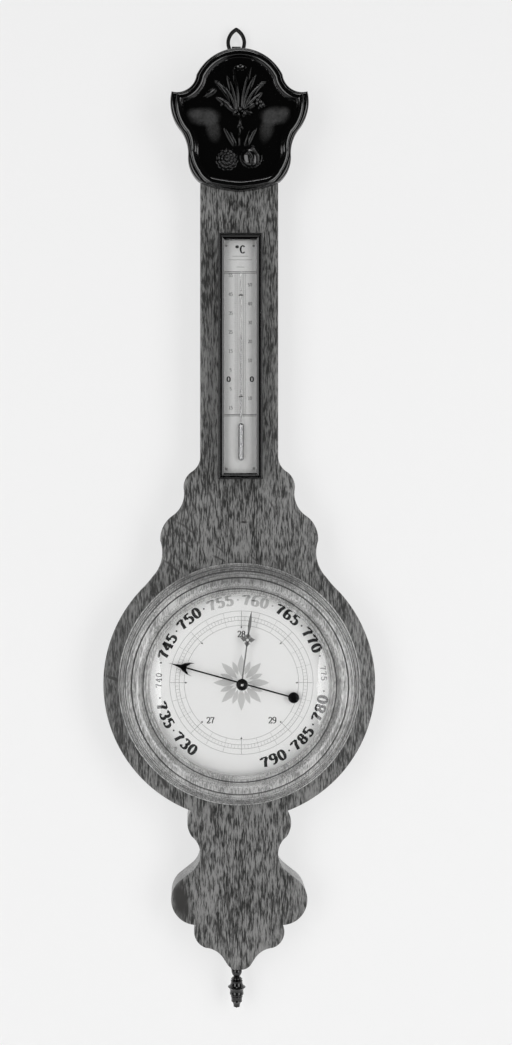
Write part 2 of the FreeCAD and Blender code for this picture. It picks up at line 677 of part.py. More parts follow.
def build_pediment():
    """Carved crest: flat band, raised bead, sunk field, fan of leaves, spray, berries and two fruits."""
    crest = slab(pediment_outline(front(0)), PEDIMENT_BAND_P)
    for share, proud in ((1.0, PEDIMENT_BEAD_P - BEAD_ROUND), (0.5, PEDIMENT_BEAD_P)):
        crest = crest.fuse(slab(bead_outline(BEAD_HALF * share, front(0)), proud))
    for share, proud in ((0.5, PEDIMENT_BEAD_P - BEAD_ROUND), (1.0, PEDIMENT_FIELD_P)):
        crest = crest.cut(slab(bead_outline(-BEAD_HALF * share, front(proud)), PEDIMENT_BEAD_P))
    ground_y = front(PEDIMENT_FIELD_P)
    leaf_root_z = below_top(LEAF_ROOT_DROP)
    carving = []
    count = len(LEAF_LENGTHS)
    for i, length in enumerate(LEAF_LENGTHS):
        angle = (i - (count - 1) / 2) * LEAF_SPREAD_DEG
        carving.append(spindle((0, leaf_root_z), angle, LEAF_START, length, LEAF_R,
                               ground_y - LEAF_R * CARVING_SINK))
    for i in (-1, 0, 1):
        carving.append(spindle((0, below_top(SPRAY_ROOT_DROP)), i * SPRAY_SPREAD_DEG, SPRAY_START,
                               SPRAY_LENGTH, SPRAY_R, ground_y - SPRAY_R * CARVING_SINK))
    balls = [(-FRUIT_X, LEFT_FRUIT_DROP, LEFT_FRUIT_R), (FRUIT_X, RIGHT_FRUIT_DROP, RIGHT_FRUIT_R),
             (-BERRY_X, BERRY_DROP, BERRY_R), (BERRY_X, BERRY_DROP, BERRY_R), (0, LEAF_ROOT_DROP, KNOT_R)]
    for x, drop, radius in balls:
        carving.append(Part.makeSphere(radius, vec(x, ground_y + radius * CARVING_SINK, below_top(drop))))
    carving.append(spindle((-BOSS_LENGTH / 2, below_top(BOSS_DROP)), 90, 0, BOSS_LENGTH, BOSS_R,
                           ground_y - BOSS_R * CARVING_SINK))
    for piece in carving:
        crest = crest.fuse(piece)
    back = box(-HORN_X, HORN_X, front(0), front(0) + CASE_DEPTH, below_top(PEDIMENT_BOTTOM_DROP),
               CASE_TOP_Z + PEDIMENT_ARCH_R)
    holes = [rod(x, z, PEDIMENT_SCREW_R, front(PEDIMENT_SCREW_GRIP), front(0) + OVERRUN)
             for x, z in pediment_screw_places()]
    return crest.cut([back] + holes).removeSplitter()


def build_pediment_screws():
    length = FRONT_BOARD_T + PEDIMENT_SCREW_GRIP
    return [wood_screw(x, z, FRONT_BACK_Y, PEDIMENT_SCREW_R, PEDIMENT_SCREW_HEAD_R, length)
            .cut(screw_slot(x, z, FRONT_BACK_Y, PEDIMENT_SCREW_HEAD_R)) for x, z in pediment_screw_places()]


def build_hanger_plate():
    """Iron plate let into the back, with a knuckle above the case for the ring."""
    knuckle_r = RING_WIRE_R + RING_CLEARANCE + KNUCKLE_WALL
    ring_axis_z = CASE_TOP_Z + RING_AXIS_RISE
    plate = box(HANGER_X - HANGER_W / 2, HANGER_X + HANGER_W / 2, -HANGER_T, 0,
                below_top(HANGER_BOTTOM_DROP), below_top(HANGER_TOP_DROP))
    neck = box(HANGER_X - HANGER_NECK_W / 2, HANGER_X + HANGER_NECK_W / 2, -HANGER_T, 0,
               below_top(HANGER_BOTTOM_DROP), ring_axis_z)
    knuckle = Part.makeCylinder(knuckle_r, HANGER_NECK_W,
                                vec(HANGER_X - HANGER_NECK_W / 2, RING_AXIS_Y, ring_axis_z), vec(1, 0, 0))
    bore_start = vec(HANGER_X - HANGER_NECK_W / 2 - OVERRUN, RING_AXIS_Y, ring_axis_z)
    holes = [Part.makeCylinder(RING_WIRE_R + RING_CLEARANCE, HANGER_NECK_W + 2 * OVERRUN, bore_start,
                               vec(1, 0, 0))]
    for x, z in hanger_screw_places():
        holes.append(rod(x, z, HANGER_SCREW_R, -HANGER_T - OVERRUN, OVERRUN))
        holes.append(Part.makeCone(HANGER_SCREW_HEAD_R, HANGER_SCREW_R,
                                   HANGER_SCREW_HEAD_R - HANGER_SCREW_R, vec(x, 0, z), vec(0, -1, 0)))
    return plate.fuse([neck, knuckle]).removeSplitter().cut(holes)


def build_hanger_screws():
    return [wood_screw(x, z, 0, HANGER_SCREW_R, HANGER_SCREW_HEAD_R, HANGER_SCREW_LENGTH)
            .cut(screw_slot(x, z, 0, HANGER_SCREW_HEAD_R)) for x, z in hanger_screw_places()]


def build_hanging_ring():
    """Pointed ring of round wire, with a straight bar that turns in the hanger's knuckle."""
    y, z0 = RING_AXIS_Y, CASE_TOP_Z + RING_AXIS_RISE
    wide_z, tip_z = z0 + RING_WIDE_RISE, z0 + RING_TIP_RISE

    def place(dx, z):
        return vec(HANGER_X + dx, y, z)

    bar = Part.makeLine(place(-RING_BAR_HALF, z0), place(RING_BAR_HALF, z0))
    parts = [wire_rod(bar, RING_WIRE_R)]
    for side in (-1, 1):
        low_mid_x = RING_BAR_HALF + (RING_HALF_W - RING_BAR_HALF) * RING_LOW_BELLY[0]
        low = Part.Arc(place(side * RING_BAR_HALF, z0),
                       place(side * low_mid_x, z0 + RING_WIDE_RISE * RING_LOW_BELLY[1]),
                       place(side * RING_HALF_W, wide_z)).toShape()
        high = Part.Arc(place(side * RING_HALF_W, wide_z),
                        place(side * RING_HALF_W * RING_HIGH_BELLY[0],
                              wide_z + (tip_z - wide_z) * RING_HIGH_BELLY[1]),
                        place(0, tip_z)).toShape()
        parts += [wire_rod(low, RING_WIRE_R), wire_rod(high, RING_WIRE_R)]
        for dx, z in ((side * RING_BAR_HALF, z0), (side * RING_HALF_W, wide_z)):
            parts.append(Part.makeSphere(RING_WIRE_R, place(dx, z)))
    parts.append(Part.makeSphere(RING_WIRE_R, place(0, tip_z)))
    return parts[0].fuse(parts[1:])


def wire_rod(edge, radius):
    """Round wire along one edge."""
    start = edge.valueAt(edge.FirstParameter)
    along = edge.tangentAt(edge.FirstParameter)
    section = Part.Wire(Part.makeCircle(radius, start, along))
    return Part.Wire(edge).makePipeShell([section], True, False)


def build_finial():
    """Turned drop below the tail: collar, neck, ball and pointed toe, on a dowel."""
    top = CASE_BOTTOM_Z
    ball_z = top - FINIAL_BALL_DROP
    tip_z = top - FINIAL_LENGTH
    profile = [
        (0, top + FINIAL_DOWEL_LENGTH),
        (FINIAL_DOWEL_R, top + FINIAL_DOWEL_LENGTH),
        (FINIAL_DOWEL_R, top),
        (FINIAL_COLLAR_R, top),
        (FINIAL_COLLAR_R, top - FINIAL_COLLAR_H),
        ((FINIAL_NECK_R + FINIAL_NECK_FLARE[0], top - FINIAL_NECK_DROP + FINIAL_NECK_FLARE[1]),
         (FINIAL_NECK_R, top - FINIAL_NECK_DROP)),
        ((FINIAL_NECK_R + FINIAL_SHOULDER_FLARE[0], top - FINIAL_NECK_DROP - FINIAL_SHOULDER_FLARE[1]),
         (FINIAL_SHOULDER_R, top - FINIAL_SHOULDER_DROP)),
        ((FINIAL_BALL_R, ball_z), (FINIAL_WAIST_R, top - FINIAL_WAIST_DROP + FINIAL_WAIST_H)),
        (FINIAL_WAIST_R, top - FINIAL_WAIST_DROP),
        ((FINIAL_TOE_R + FINIAL_TOE_SWELL[0], top - FINIAL_TOE_DROP + FINIAL_TOE_SWELL[1]),
         (FINIAL_TOE_R, top - FINIAL_TOE_DROP)),
    ]
    profile += [(FINIAL_TOE_R * width, tip_z + (FINIAL_LENGTH - FINIAL_TOE_DROP) * rise)
                for width, rise in FINIAL_TIP_PROFILE]
    profile.append((0, tip_z))
    return spun(profile, FINIAL_X, -CASE_DEPTH / 2)


def build_bezel():
    """Turned wooden ring with three beads, a quirk and a cove, rebated behind for glass and dial."""
    recess_r = DIAL_R + math.hypot(PIVOT_X, PIVOT_Z) + DIAL_RECESS_GAP
    glass_seat_r = GLASS_R + GLASS_GAP
    recess_p = DIAL_T + PIN_HEAD_R + PIN_HEAD_GAP
    mid_r = BEZEL_R - BEZEL_MID_BEAD_INSET
    crest_r = BEZEL_R - BEZEL_CREST_INSET
    cove_r = BEZEL_R - BEZEL_COVE_INSET
    foot_r = BEZEL_R - BEZEL_COVE_FOOT_INSET
    lip_r = BEZEL_R - BEZEL_LIP_INSET
    profile = [
        (BEZEL_R, front(0)),
        (BEZEL_R, front(BEZEL_OUTER_BEAD_P - BEZEL_OUTER_BEAD_H)),
        ((BEZEL_R - BEZEL_OUTER_TOP_INSET, front(BEZEL_OUTER_BEAD_P)),
         (BEZEL_R - BEZEL_OUTER_BEAD_W, front(BEZEL_OUTER_BEAD_P - BEZEL_QUIRK))),
        (mid_r + BEZEL_MID_BEAD_OUT, front(BEZEL_MID_BEAD_P - BEZEL_MID_BEAD_H)),
        ((mid_r + BEZEL_MID_TOP_OUT, front(BEZEL_MID_BEAD_P)),
         (mid_r - BEZEL_MID_BEAD_IN, front(BEZEL_MID_BEAD_P - BEZEL_MID_FALL))),
        (crest_r + BEZEL_CREST_OUT, front(BEZEL_CREST_P - BEZEL_CREST_H)),
        ((crest_r, front(BEZEL_CREST_P)),
         (crest_r - BEZEL_CREST_IN, front(BEZEL_CREST_P - BEZEL_CREST_FALL))),
        (cove_r + BEZEL_COVE_EDGE_W, front(BEZEL_CREST_P - BEZEL_COVE_EDGE_FALL - BEZEL_COVE_EDGE_H)),
        (cove_r, front(BEZEL_CREST_P - BEZEL_COVE_EDGE_FALL)),
        ((cove_r - BEZEL_COVE_HOLLOW[0], front(BEZEL_COVE_FOOT_P + BEZEL_COVE_HOLLOW[1])),
         (foot_r, front(BEZEL_COVE_FOOT_P))),
        (foot_r - BEZEL_COVE_QUIRK_W, front(BEZEL_COVE_FOOT_P - BEZEL_QUIRK)),
        (lip_r + BEZEL_LIP_HALF, front(BEZEL_COVE_FOOT_P)),
        ((lip_r, front(BEZEL_LIP_P)),
         (APERTURE_R + BEZEL_APERTURE_EASE, front(BEZEL_LIP_P - BEZEL_LIP_FALL))),
        (APERTURE_R, front(BEZEL_LIP_P - BEZEL_LIP_FALL - BEZEL_APERTURE_EASE)),
        (APERTURE_R, front(BEZEL_LIP_BACK_P)),
        (glass_seat_r, front(BEZEL_LIP_BACK_P)),
        (glass_seat_r, front(recess_p)),
        (recess_r, front(recess_p)),
        (recess_r, front(0)),
    ]
    ring = turned(profile)
    return ring.cut([rod(x, z, DOWEL_R, front(DOWEL_DEPTH), front(-OVERRUN)) for x, z in dowel_places()])


def build_bezel_dowels():
    return [rod(x, z, DOWEL_R, front(DOWEL_DEPTH), front(-DOWEL_DEPTH)) for x, z in dowel_places()]


def dome_drop(radius_at, sphere_r):
    """How far a dome of the given sphere radius has fallen at a distance from its top."""
    return sphere_r - math.sqrt(sphere_r ** 2 - radius_at ** 2)


def glass_sphere_r():
    return (GLASS_FLAT_R ** 2 + GLASS_RISE ** 2) / (2 * GLASS_RISE)


def build_dial_glass():
    """Domed glass with a flat rim and a hole for the set hand's spindle."""
    outer_r = glass_sphere_r()
    half = GLASS_FLAT_R / 2
    rim_front, rim_back = front(GLASS_P), front(GLASS_P - GLASS_T)
    profile = [
        (0, front(TOP_GLASS_P)),
        ((half, front(TOP_GLASS_P - dome_drop(half, outer_r))), (GLASS_FLAT_R, rim_front)),
        (GLASS_R, rim_front),
        (GLASS_R, rim_back),
        (GLASS_FLAT_R, rim_back),
        ((half, front(TOP_GLASS_P - GLASS_T - dome_drop(half, outer_r))),
         (0, front(TOP_GLASS_P - GLASS_T))),
    ]
    hole = rod(PIVOT_X, PIVOT_Z, SPINDLE_R + RUNNING_GAP, front(TOP_GLASS_P + OVERRUN), front(0))
    return turned(profile).cut(hole)


def build_glass_retainer():
    """Thin hoop sprung into the bezel behind the glass."""
    seat_r = GLASS_R + GLASS_GAP
    back = GLASS_P - GLASS_T
    return turned([(seat_r, front(back)), (seat_r, front(back - RETAINER_T)),
                   (seat_r - RETAINER_W, front(back - RETAINER_T)), (seat_r - RETAINER_W, front(back))])


def build_dial_plate():
    """Flat dial card on the front board, round the hands' axis."""
    disc = rod(PIVOT_X, PIVOT_Z, DIAL_R, front(DIAL_T), front(0))
    holes = [rod(PIVOT_X, PIVOT_Z, ARBOR_R + DIAL_HOLE_GAP, front(DIAL_T + OVERRUN), front(-OVERRUN))]
    holes += [rod(x, z, DIAL_PIN_R, front(DIAL_T + OVERRUN), front(-OVERRUN)) for x, z in dial_pin_places()]
    return disc.cut(holes)


def round_head_pin(x, z, head_y, head_r, shank_r, depth):
    """Small pin along Y with a round head standing forward of head_y."""
    head = Part.makeSphere(head_r, vec(x, head_y, z))
    head = head.common(box(x - head_r, x + head_r, head_y - head_r, head_y, z - head_r, z + head_r))
    shank = rod(x, z, shank_r, head_y - shank_r, head_y + depth)
    return shank.fuse(head).removeSplitter()


def build_dial_pins():
    return [round_head_pin(x, z, front(DIAL_T), PIN_HEAD_R, DIAL_PIN_R, DIAL_T + DIAL_PIN_DEPTH)
            for x, z in dial_pin_places()]


def hand_face(points, y):
    """Flat blade outline round the hands' axis, given as (x, z) beside and along the hand."""
    ring = [vec(PIVOT_X + x, y, PIVOT_Z + z) for x, z in points]
    return Part.Face(Part.makePolygon(ring + [ring[0]]))


def turn_to(shape, angle_deg):
    turned_shape = shape.copy()
    turned_shape.rotate(vec(PIVOT_X, 0, PIVOT_Z), vec(0, 1, 0), angle_deg)
    return turned_shape


def symmetric(half_points):
    """Closed outline from the points on its right side, top to bottom."""
    return half_points + [(-x, z) for x, z in reversed(half_points) if x > 0]


def build_index_hand():
    """Steel hand with a barbed arrow head and a round counterpoise."""
    base = INDEX_LENGTH - INDEX_HEAD
    horn = INDEX_LENGTH - INDEX_HORN_BACK
    shaft = INDEX_SHAFT_W / 2
    outline = symmetric([
        (0, INDEX_LENGTH),
        (INDEX_HEAD_HALF * 0.62, base + INDEX_HEAD * 0.4),
        (INDEX_HEAD_HALF, base + 1.5),
        (INDEX_HORN_HALF * 0.92, base - 3.5),
        (INDEX_HORN_HALF, horn),
        (INDEX_HORN_HALF * 0.55, base - 4.8),
        (shaft, base - 5.6),
        (shaft, -INDEX_TAIL),
    ])
    y = front(INDEX_P)
    blade = slab(hand_face(outline, y), INDEX_T)
    disc = rod(PIVOT_X, PIVOT_Z - INDEX_TAIL, INDEX_DISC_R, y - INDEX_T, y)
    hub = rod(PIVOT_X, PIVOT_Z, COLLET_R, y - INDEX_T, y)
    hole = rod(PIVOT_X, PIVOT_Z, ARBOR_R, y - INDEX_T - OVERRUN, y + OVERRUN)
    return turn_to(blade.fuse([disc, hub]).removeSplitter().cut(hole), INDEX_REST_DEG)


def build_index_collet():
    """Brass collet that grips the arbor under the index hand."""
    y = front(INDEX_P)
    body = rod(PIVOT_X, PIVOT_Z, COLLET_R * 0.8, y, y + COLLET_H)
    return body.cut(rod(PIVOT_X, PIVOT_Z, ARBOR_R, y - 1, y + COLLET_H + 1))


def pulley_end_y():
    return PULLEY_START_Y + 3 * PULLEY_FLANGE_T + 2 * PULLEY_GROOVE_W


def groove_y(index):
    """Middle of the groove; 0 carries the float's thread and 1 the counterweight's."""
    pitch = PULLEY_FLANGE_T + PULLEY_GROOVE_W
    return PULLEY_START_Y + PULLEY_FLANGE_T + PULLEY_GROOVE_W / 2 + index * pitch


def build_arbor():
    """Steel arbor: long front journal, thicker middle for the pulley and a fine rear pivot."""
    front_end = front(ARBOR_TIP_P)
    body_start = FRONT_BACK_Y + BEARING_PLATE_T + 0.8
    body_end = BRIDGE_BACK_Y - BRIDGE_T - 0.6
    rear_end = BRIDGE_BACK_Y + 0.4
    journal = rod(PIVOT_X, PIVOT_Z, ARBOR_R, front_end, body_start)
    middle = rod(PIVOT_X, PIVOT_Z, ARBOR_BODY_R, body_start, body_end)
    pivot = rod(PIVOT_X, PIVOT_Z, ARBOR_PIVOT_R, body_end, rear_end)
    return journal.fuse([middle, pivot]).removeSplitter()


def build_pulley():
    """Brass pulley with two grooves, one for each thread."""
    bottom = PULLEY_R - THREAD_R - THREAD_GAP
    solid = rod(PIVOT_X, PIVOT_Z, bottom, PULLEY_START_Y, pulley_end_y())
    flanges = []
    for i in range(3):
        y0 = PULLEY_START_Y + i * (PULLEY_FLANGE_T + PULLEY_GROOVE_W)
        flanges.append(rod(PIVOT_X, PIVOT_Z, PULLEY_FLANGE_R, y0, y0 + PULLEY_FLANGE_T))
    bore = rod(PIVOT_X, PIVOT_Z, ARBOR_BODY_R, PULLEY_START_Y - 1, pulley_end_y() + 1)
    return solid.fuse(flanges).removeSplitter().cut(bore)


def build_bearing_plate():
    """Round brass plate behind the front board that carries the arbor."""
    y0, y1 = FRONT_BACK_Y, FRONT_BACK_Y + BEARING_PLATE_T
    plate = rod(PIVOT_X, PIVOT_Z, BEARING_PLATE_R, y0, y1)
    holes = [rod(PIVOT_X, PIVOT_Z, ARBOR_R + RUNNING_GAP, y0 - 1, y1 + 1)]
    holes += [rod(x, z, BEARING_SCREW_R, y0 - 1, y1 + 1) for x, z in bearing_screw_places()]
    return plate.cut(holes)


def cheese_screw(x, z, seat_y, shank_r, head_r, depth):
    """Small screw driven towards the front, its head behind the seat."""
    shank = rod(x, z, shank_r, seat_y - depth, seat_y)
    head = rod(x, z, head_r, seat_y, seat_y + SMALL_SCREW_HEAD_T)
    slot = box(x - head_r, x + head_r, seat_y + SMALL_SCREW_HEAD_T - SLOT_DEPTH,
               seat_y + SMALL_SCREW_HEAD_T + 1, z - SLOT_W / 2, z + SLOT_W / 2)
    return shank.fuse(head).removeSplitter().cut(slot)


def build_bearing_plate_screws():
    seat = FRONT_BACK_Y + BEARING_PLATE_T
    return [cheese_screw(x, z, seat, BEARING_SCREW_R, BEARING_SCREW_R * 1.9,
                         BEARING_PLATE_T + SMALL_SCREW_DEPTH) for x, z in bearing_screw_places()]


def build_bridge():
    """Brass bridge over the pulley: two feet, two legs and a bar with the rear pivot hole."""
    x0, x1 = PIVOT_X - BRIDGE_W / 2, PIVOT_X + BRIDGE_W / 2
    seat, back = FRONT_BACK_Y, BRIDGE_BACK_Y
    parts = []
    for side in (-1, 1):
        foot = sorted((PIVOT_Z + side * (BRIDGE_SPAN - BRIDGE_T),
                       PIVOT_Z + side * (BRIDGE_SPAN + BRIDGE_FOOT)))
        leg = sorted((PIVOT_Z + side * (BRIDGE_SPAN - BRIDGE_T), PIVOT_Z + side * BRIDGE_SPAN))
        parts.append(box(x0, x1, seat, seat + BRIDGE_T, foot[0], foot[1]))
        parts.append(box(x0, x1, seat, back, leg[0], leg[1]))
    bar = box(x0, x1, back - BRIDGE_T, back, PIVOT_Z - BRIDGE_SPAN, PIVOT_Z + BRIDGE_SPAN)
    holes = [rod(PIVOT_X, PIVOT_Z, ARBOR_PIVOT_R + RUNNING_GAP, back - BRIDGE_T - 1, back + 1)]
    holes += [rod(x, z, SMALL_SCREW_R, seat - 1, seat + BRIDGE_T + 1) for x, z in bridge_screw_places()]
    return bar.fuse(parts).removeSplitter().cut(holes)


def build_bridge_screws():
    seat = FRONT_BACK_Y + BRIDGE_T
    return [cheese_screw(x, z, seat, SMALL_SCREW_R, SMALL_SCREW_HEAD_R, BRIDGE_T + SMALL_SCREW_DEPTH)
            for x, z in bridge_screw_places()]


def leaf_points(root, tip, half_width):
    """Six-sided leaf from root to tip, each (x, z)."""
    run_x, run_z = tip[0] - root[0], tip[1] - root[1]
    run = math.hypot(run_x, run_z)
    side_x, side_z = -run_z / run * half_width, run_x / run * half_width
    points = [root]
    for share in (0.35, 0.7):
        points.append((root[0] + run_x * share + side_x, root[1] + run_z * share + side_z))
    points.append(tip)
    for share in (0.7, 0.35):
        points.append((root[0] + run_x * share - side_x, root[1] + run_z * share - side_z))
    return points


def build_set_hand():
    """Brass hand under the glass: slender blade above an open cross of four leaves."""
    y = front(SET_P)
    shaft = SET_SHAFT_W / 2
    cross = SET_CROSS_AT
    blade = symmetric([(0, SET_LENGTH), (SET_BLADE_HALF, cross + SET_CROSS_REACH + 4),
                       (shaft, cross + SET_CROSS_HOLE_R)])
    shank = symmetric([(shaft, cross - SET_CROSS_HOLE_R), (shaft, 0)])
    parts = [slab(hand_face(points, y), SET_T) for points in (blade, shank)]
    reach = SET_CROSS_REACH
    for tip in ((-reach, cross + 1.5), (reach, cross + 1.5), (0, cross + reach), (0, cross - reach)):
        parts.append(slab(hand_face(leaf_points((0, cross), tip, SET_LEAF_HALF), y), SET_T))
    parts.append(rod(PIVOT_X, PIVOT_Z + cross, SET_CROSS_HOLE_R + 1.0, y - SET_T, y))
    parts.append(rod(PIVOT_X, PIVOT_Z, SET_HUB_R, y - SET_T, y))
    hand = parts[0].fuse(parts[1:]).removeSplitter()
    hand = hand.cut([rod(PIVOT_X, PIVOT_Z, SPINDLE_R, y - SET_T - OVERRUN, y + OVERRUN),
                     rod(PIVOT_X, PIVOT_Z + cross, SET_CROSS_HOLE_R, y - SET_T - OVERRUN, y + OVERRUN)])
    return turn_to(hand, SET_REST_DEG)


def build_set_knob():
    """Dark turned knob on the middle of the glass, in one with its spindle."""
    seat_p = TOP_GLASS_P + WASHER_GAP / 2
    profile = [
        (0, front(SET_P)),
        (SPINDLE_R, front(SET_P)),
        (SPINDLE_R, front(seat_p)),
        (KNOB_R - 0.8, front(seat_p)),
        (KNOB_R, front(seat_p + 0.8)),
        (KNOB_R, front(seat_p + KNOB_T * 0.6)),
        (KNOB_R - 0.7, front(seat_p + KNOB_T)),
        (KNOB_CAP_R, front(seat_p + KNOB_T * 0.8)),
        (0, front(seat_p + KNOB_T * 0.8)),
    ]
    return turned(profile, PIVOT_X, PIVOT_Z)


def build_knob_cap():
    """Small bright dome in the middle of the knob."""
    seat_p = TOP_GLASS_P + WASHER_GAP / 2 + KNOB_T * 0.8
    lean = KNOB_CAP_R * math.sqrt(0.5)
    return turned([(0, front(seat_p)), (KNOB_CAP_R, front(seat_p)),
                   ((lean, front(seat_p + lean)), (0, front(seat_p + KNOB_CAP_R)))], PIVOT_X, PIVOT_Z)


def build_set_washer():
    """Brass washer between the glass and the set hand."""
    back = SET_P + SET_T
    top = TOP_GLASS_P - GLASS_T - WASHER_GAP
    body = rod(PIVOT_X, PIVOT_Z, WASHER_R, front(top), front(back))
    return body.cut(rod(PIVOT_X, PIVOT_Z, SPINDLE_R, front(top + 1), front(back - 1)))


def siphon(radius, top_z, round_top):
    """Bent tube of the given radius: short arm, bend and long arm."""
    short_x = PIVOT_X + PULLEY_R
    bend_r = (LONG_ARM_X - short_x) / 2
    short = post(short_x, TUBE_Y, radius, BEND_Z, SHORT_ARM_TOP_Z)
    long = post(LONG_ARM_X, TUBE_Y, radius, BEND_Z, top_z)
    section = Part.Face(Part.Wire(Part.makeCircle(radius, vec(LONG_ARM_X, TUBE_Y, BEND_Z), vec(0, 0, 1))))
    bend = section.revolve(vec(LONG_ARM_X - bend_r, TUBE_Y, BEND_Z), vec(0, 1, 0), 180)
    parts = [long, bend]
    if round_top:
        parts.append(Part.makeSphere(radius, vec(LONG_ARM_X, TUBE_Y, top_z)))
    return short.fuse(parts).removeSplitter()


def build_barometer_tube():
    """Glass siphon tube, sealed at the top of its long arm and open at its short one."""
    wall = TUBE_R - TUBE_BORE_R
    outer = siphon(TUBE_R, TUBE_TOP_Z - TUBE_R, True)
    inner = siphon(TUBE_BORE_R, TUBE_TOP_Z - wall - TUBE_BORE_R, True)
    mouth = post(PIVOT_X + PULLEY_R, TUBE_Y, TUBE_BORE_R, SHORT_ARM_TOP_Z - 5, SHORT_ARM_TOP_Z + 5)
    return outer.cut([inner, mouth])


def mercury_split():
    return LOWER_LEVEL_Z - CISTERN_DEPTH


def build_mercury_column():
    """Mercury from below the float, round the bend and up the long arm."""
    column = siphon(TUBE_BORE_R, LOWER_LEVEL_Z + MERCURY_HEIGHT, False)
    above = post(PIVOT_X + PULLEY_R, TUBE_Y, TUBE_BORE_R + 1, mercury_split(), SHORT_ARM_TOP_Z + 5)
    return column.cut(above)


def build_cistern_mercury():
    """Mercury at the top of the short arm, which rises and falls with the float."""
    return post(PIVOT_X + PULLEY_R, TUBE_Y, TUBE_BORE_R, mercury_split(), LOWER_LEVEL_Z)


def weight(x, y, bottom_z):
    """Glass weight with rounded ends and a neck for its thread."""
    r, length = FLOAT_R, FLOAT_LENGTH
    neck_z = bottom_z + length - 1.5
    return spun([(0, bottom_z), (r * 0.7, bottom_z + 0.5), (r, bottom_z + 2), (r, neck_z - 2),
                 (r * 0.8, neck_z - 0.5), (FLOAT_EYE_R, neck_z), (FLOAT_EYE_R, bottom_z + length),
                 (0, bottom_z + length)], x, y)


def build_float():
    return weight(PIVOT_X + PULLEY_R, groove_y(0), LOWER_LEVEL_Z + FLOAT_GAP)


def build_counterweight():
    return weight(PIVOT_X - PULLEY_R, groove_y(1), PIVOT_Z - COUNTERWEIGHT_DROP - FLOAT_LENGTH)


def thread(side, y, bottom_z):
    """Silk thread: up from its weight and over half a turn of the pulley."""
    x = PIVOT_X + side * PULLEY_R
    run = post(x, y, THREAD_R, bottom_z, PIVOT_Z)
    section = Part.Face(Part.Wire(Part.makeCircle(THREAD_R, vec(x, y, PIVOT_Z), vec(0, 0, 1))))
    over = section.revolve(vec(PIVOT_X, y, PIVOT_Z), vec(0, -side, 0), 180)
    return run.fuse(over).removeSplitter()


def build_float_thread():
    return thread(1, groove_y(0), LOWER_LEVEL_Z + FLOAT_GAP + FLOAT_LENGTH)


def build_counterweight_thread():
    return thread(-1, groove_y(1), PIVOT_Z - COUNTERWEIGHT_DROP)


def block_places():
    places = [(LONG_ARM_X, TUBE_TOP_Z - drop) for drop in LONG_BLOCK_DROPS]
    return places + [(PIVOT_X + PULLEY_R, z) for z in SHORT_BLOCKS_Z]


def build_tube_blocks():
    """Grooved wooden blocks that hold the tube off the front board."""
    blocks = []
    for x, z in block_places():
        block = box(x - BLOCK_HALF, x + BLOCK_HALF, FRONT_BACK_Y, TUBE_Y, z - BLOCK_H / 2, z + BLOCK_H / 2)
        groove = post(x, TUBE_Y, TUBE_R, z - BLOCK_H, z + BLOCK_H)
        pins = [rod(px, z, STRAP_PIN_R, TUBE_Y - STRAP_PIN_LENGTH, TUBE_Y + 1) for px in strap_pin_xs(x)]
        blocks.append(block.cut([groove] + pins))
    return blocks


def strap_pin_xs(x):
    reach = (TUBE_R + STRAP_T + BLOCK_HALF) / 2
    return (x - reach, x + reach)


def build_tube_straps():
    """Thin brass straps over the tube, one to each block."""
    straps = []
    for x, z in block_places():
        low, high = z - STRAP_H / 2, z + STRAP_H / 2
        hoop = post(x, TUBE_Y, TUBE_R + STRAP_T, low, high)
        hoop = hoop.common(box(x - BLOCK_HALF, x + BLOCK_HALF, TUBE_Y, TUBE_Y + BLOCK_HALF, low, high))
        foot = box(x - BLOCK_HALF, x + BLOCK_HALF, TUBE_Y, TUBE_Y + STRAP_T, low, high)
        holes = [post(x, TUBE_Y, TUBE_R, low - 1, high + 1)]
        holes += [rod(px, z, STRAP_PIN_R, TUBE_Y - 1, TUBE_Y + STRAP_T + 1) for px in strap_pin_xs(x)]
        straps.append(hoop.fuse(foot).removeSplitter().cut(holes))
    return straps


def build_strap_pins():
    pins = []
    for x, z in block_places():
        for px in strap_pin_xs(x):
            shank = rod(px, z, STRAP_PIN_R, TUBE_Y - STRAP_PIN_LENGTH, TUBE_Y + STRAP_T)
            head = rod(px, z, STRAP_PIN_R * 1.6, TUBE_Y + STRAP_T, TUBE_Y + STRAP_T + 0.5)
            pins.append(shank.fuse(head).removeSplitter())
    return pins


def thermo_bounds(inset):
    """Left, right, bottom and top of the thermometer frame, drawn in by an inset."""
    half = THERMO_W / 2 - inset
    return THERMO_X - half, THERMO_X + half, THERMO_BOTTOM_Z + inset, THERMO_TOP_Z - inset


def frame_stick(length, middle_x, edge_z):
    """Lower stick of a mitred frame, its outer edge at edge_z, centred at middle_x."""
    rebate = THERMO_FACE - THERMO_REBATE
    section = [(0, 0), (0, THERMO_FRAME_P - 0.8), (0.5, THERMO_FRAME_P), (1.4, THERMO_FRAME_P),
               (2.0, THERMO_FRAME_P - 1.0), (THERMO_FACE, THERMO_LIP_P + 0.6),
               (THERMO_FACE, THERMO_LIP_P), (rebate, THERMO_LIP_P), (rebate, 0)]
    x0, x1 = middle_x - length / 2, middle_x + length / 2
    ring = [vec(x0, front(p), edge_z + u) for u, p in section]
    stick = Part.Face(Part.makePolygon(ring + [ring[0]])).extrude(vec(length, 0, 0))
    mitre = [vec(x0, front(-OVERRUN), edge_z), vec(x1, front(-OVERRUN), edge_z),
             vec(x1 - THERMO_FACE, front(-OVERRUN), edge_z + THERMO_FACE),
             vec(x0 + THERMO_FACE, front(-OVERRUN), edge_z + THERMO_FACE)]
    keep = slab(Part.Face(Part.makePolygon(mitre + [mitre[0]])), THERMO_FRAME_P + 3)
    return stick.common(keep)


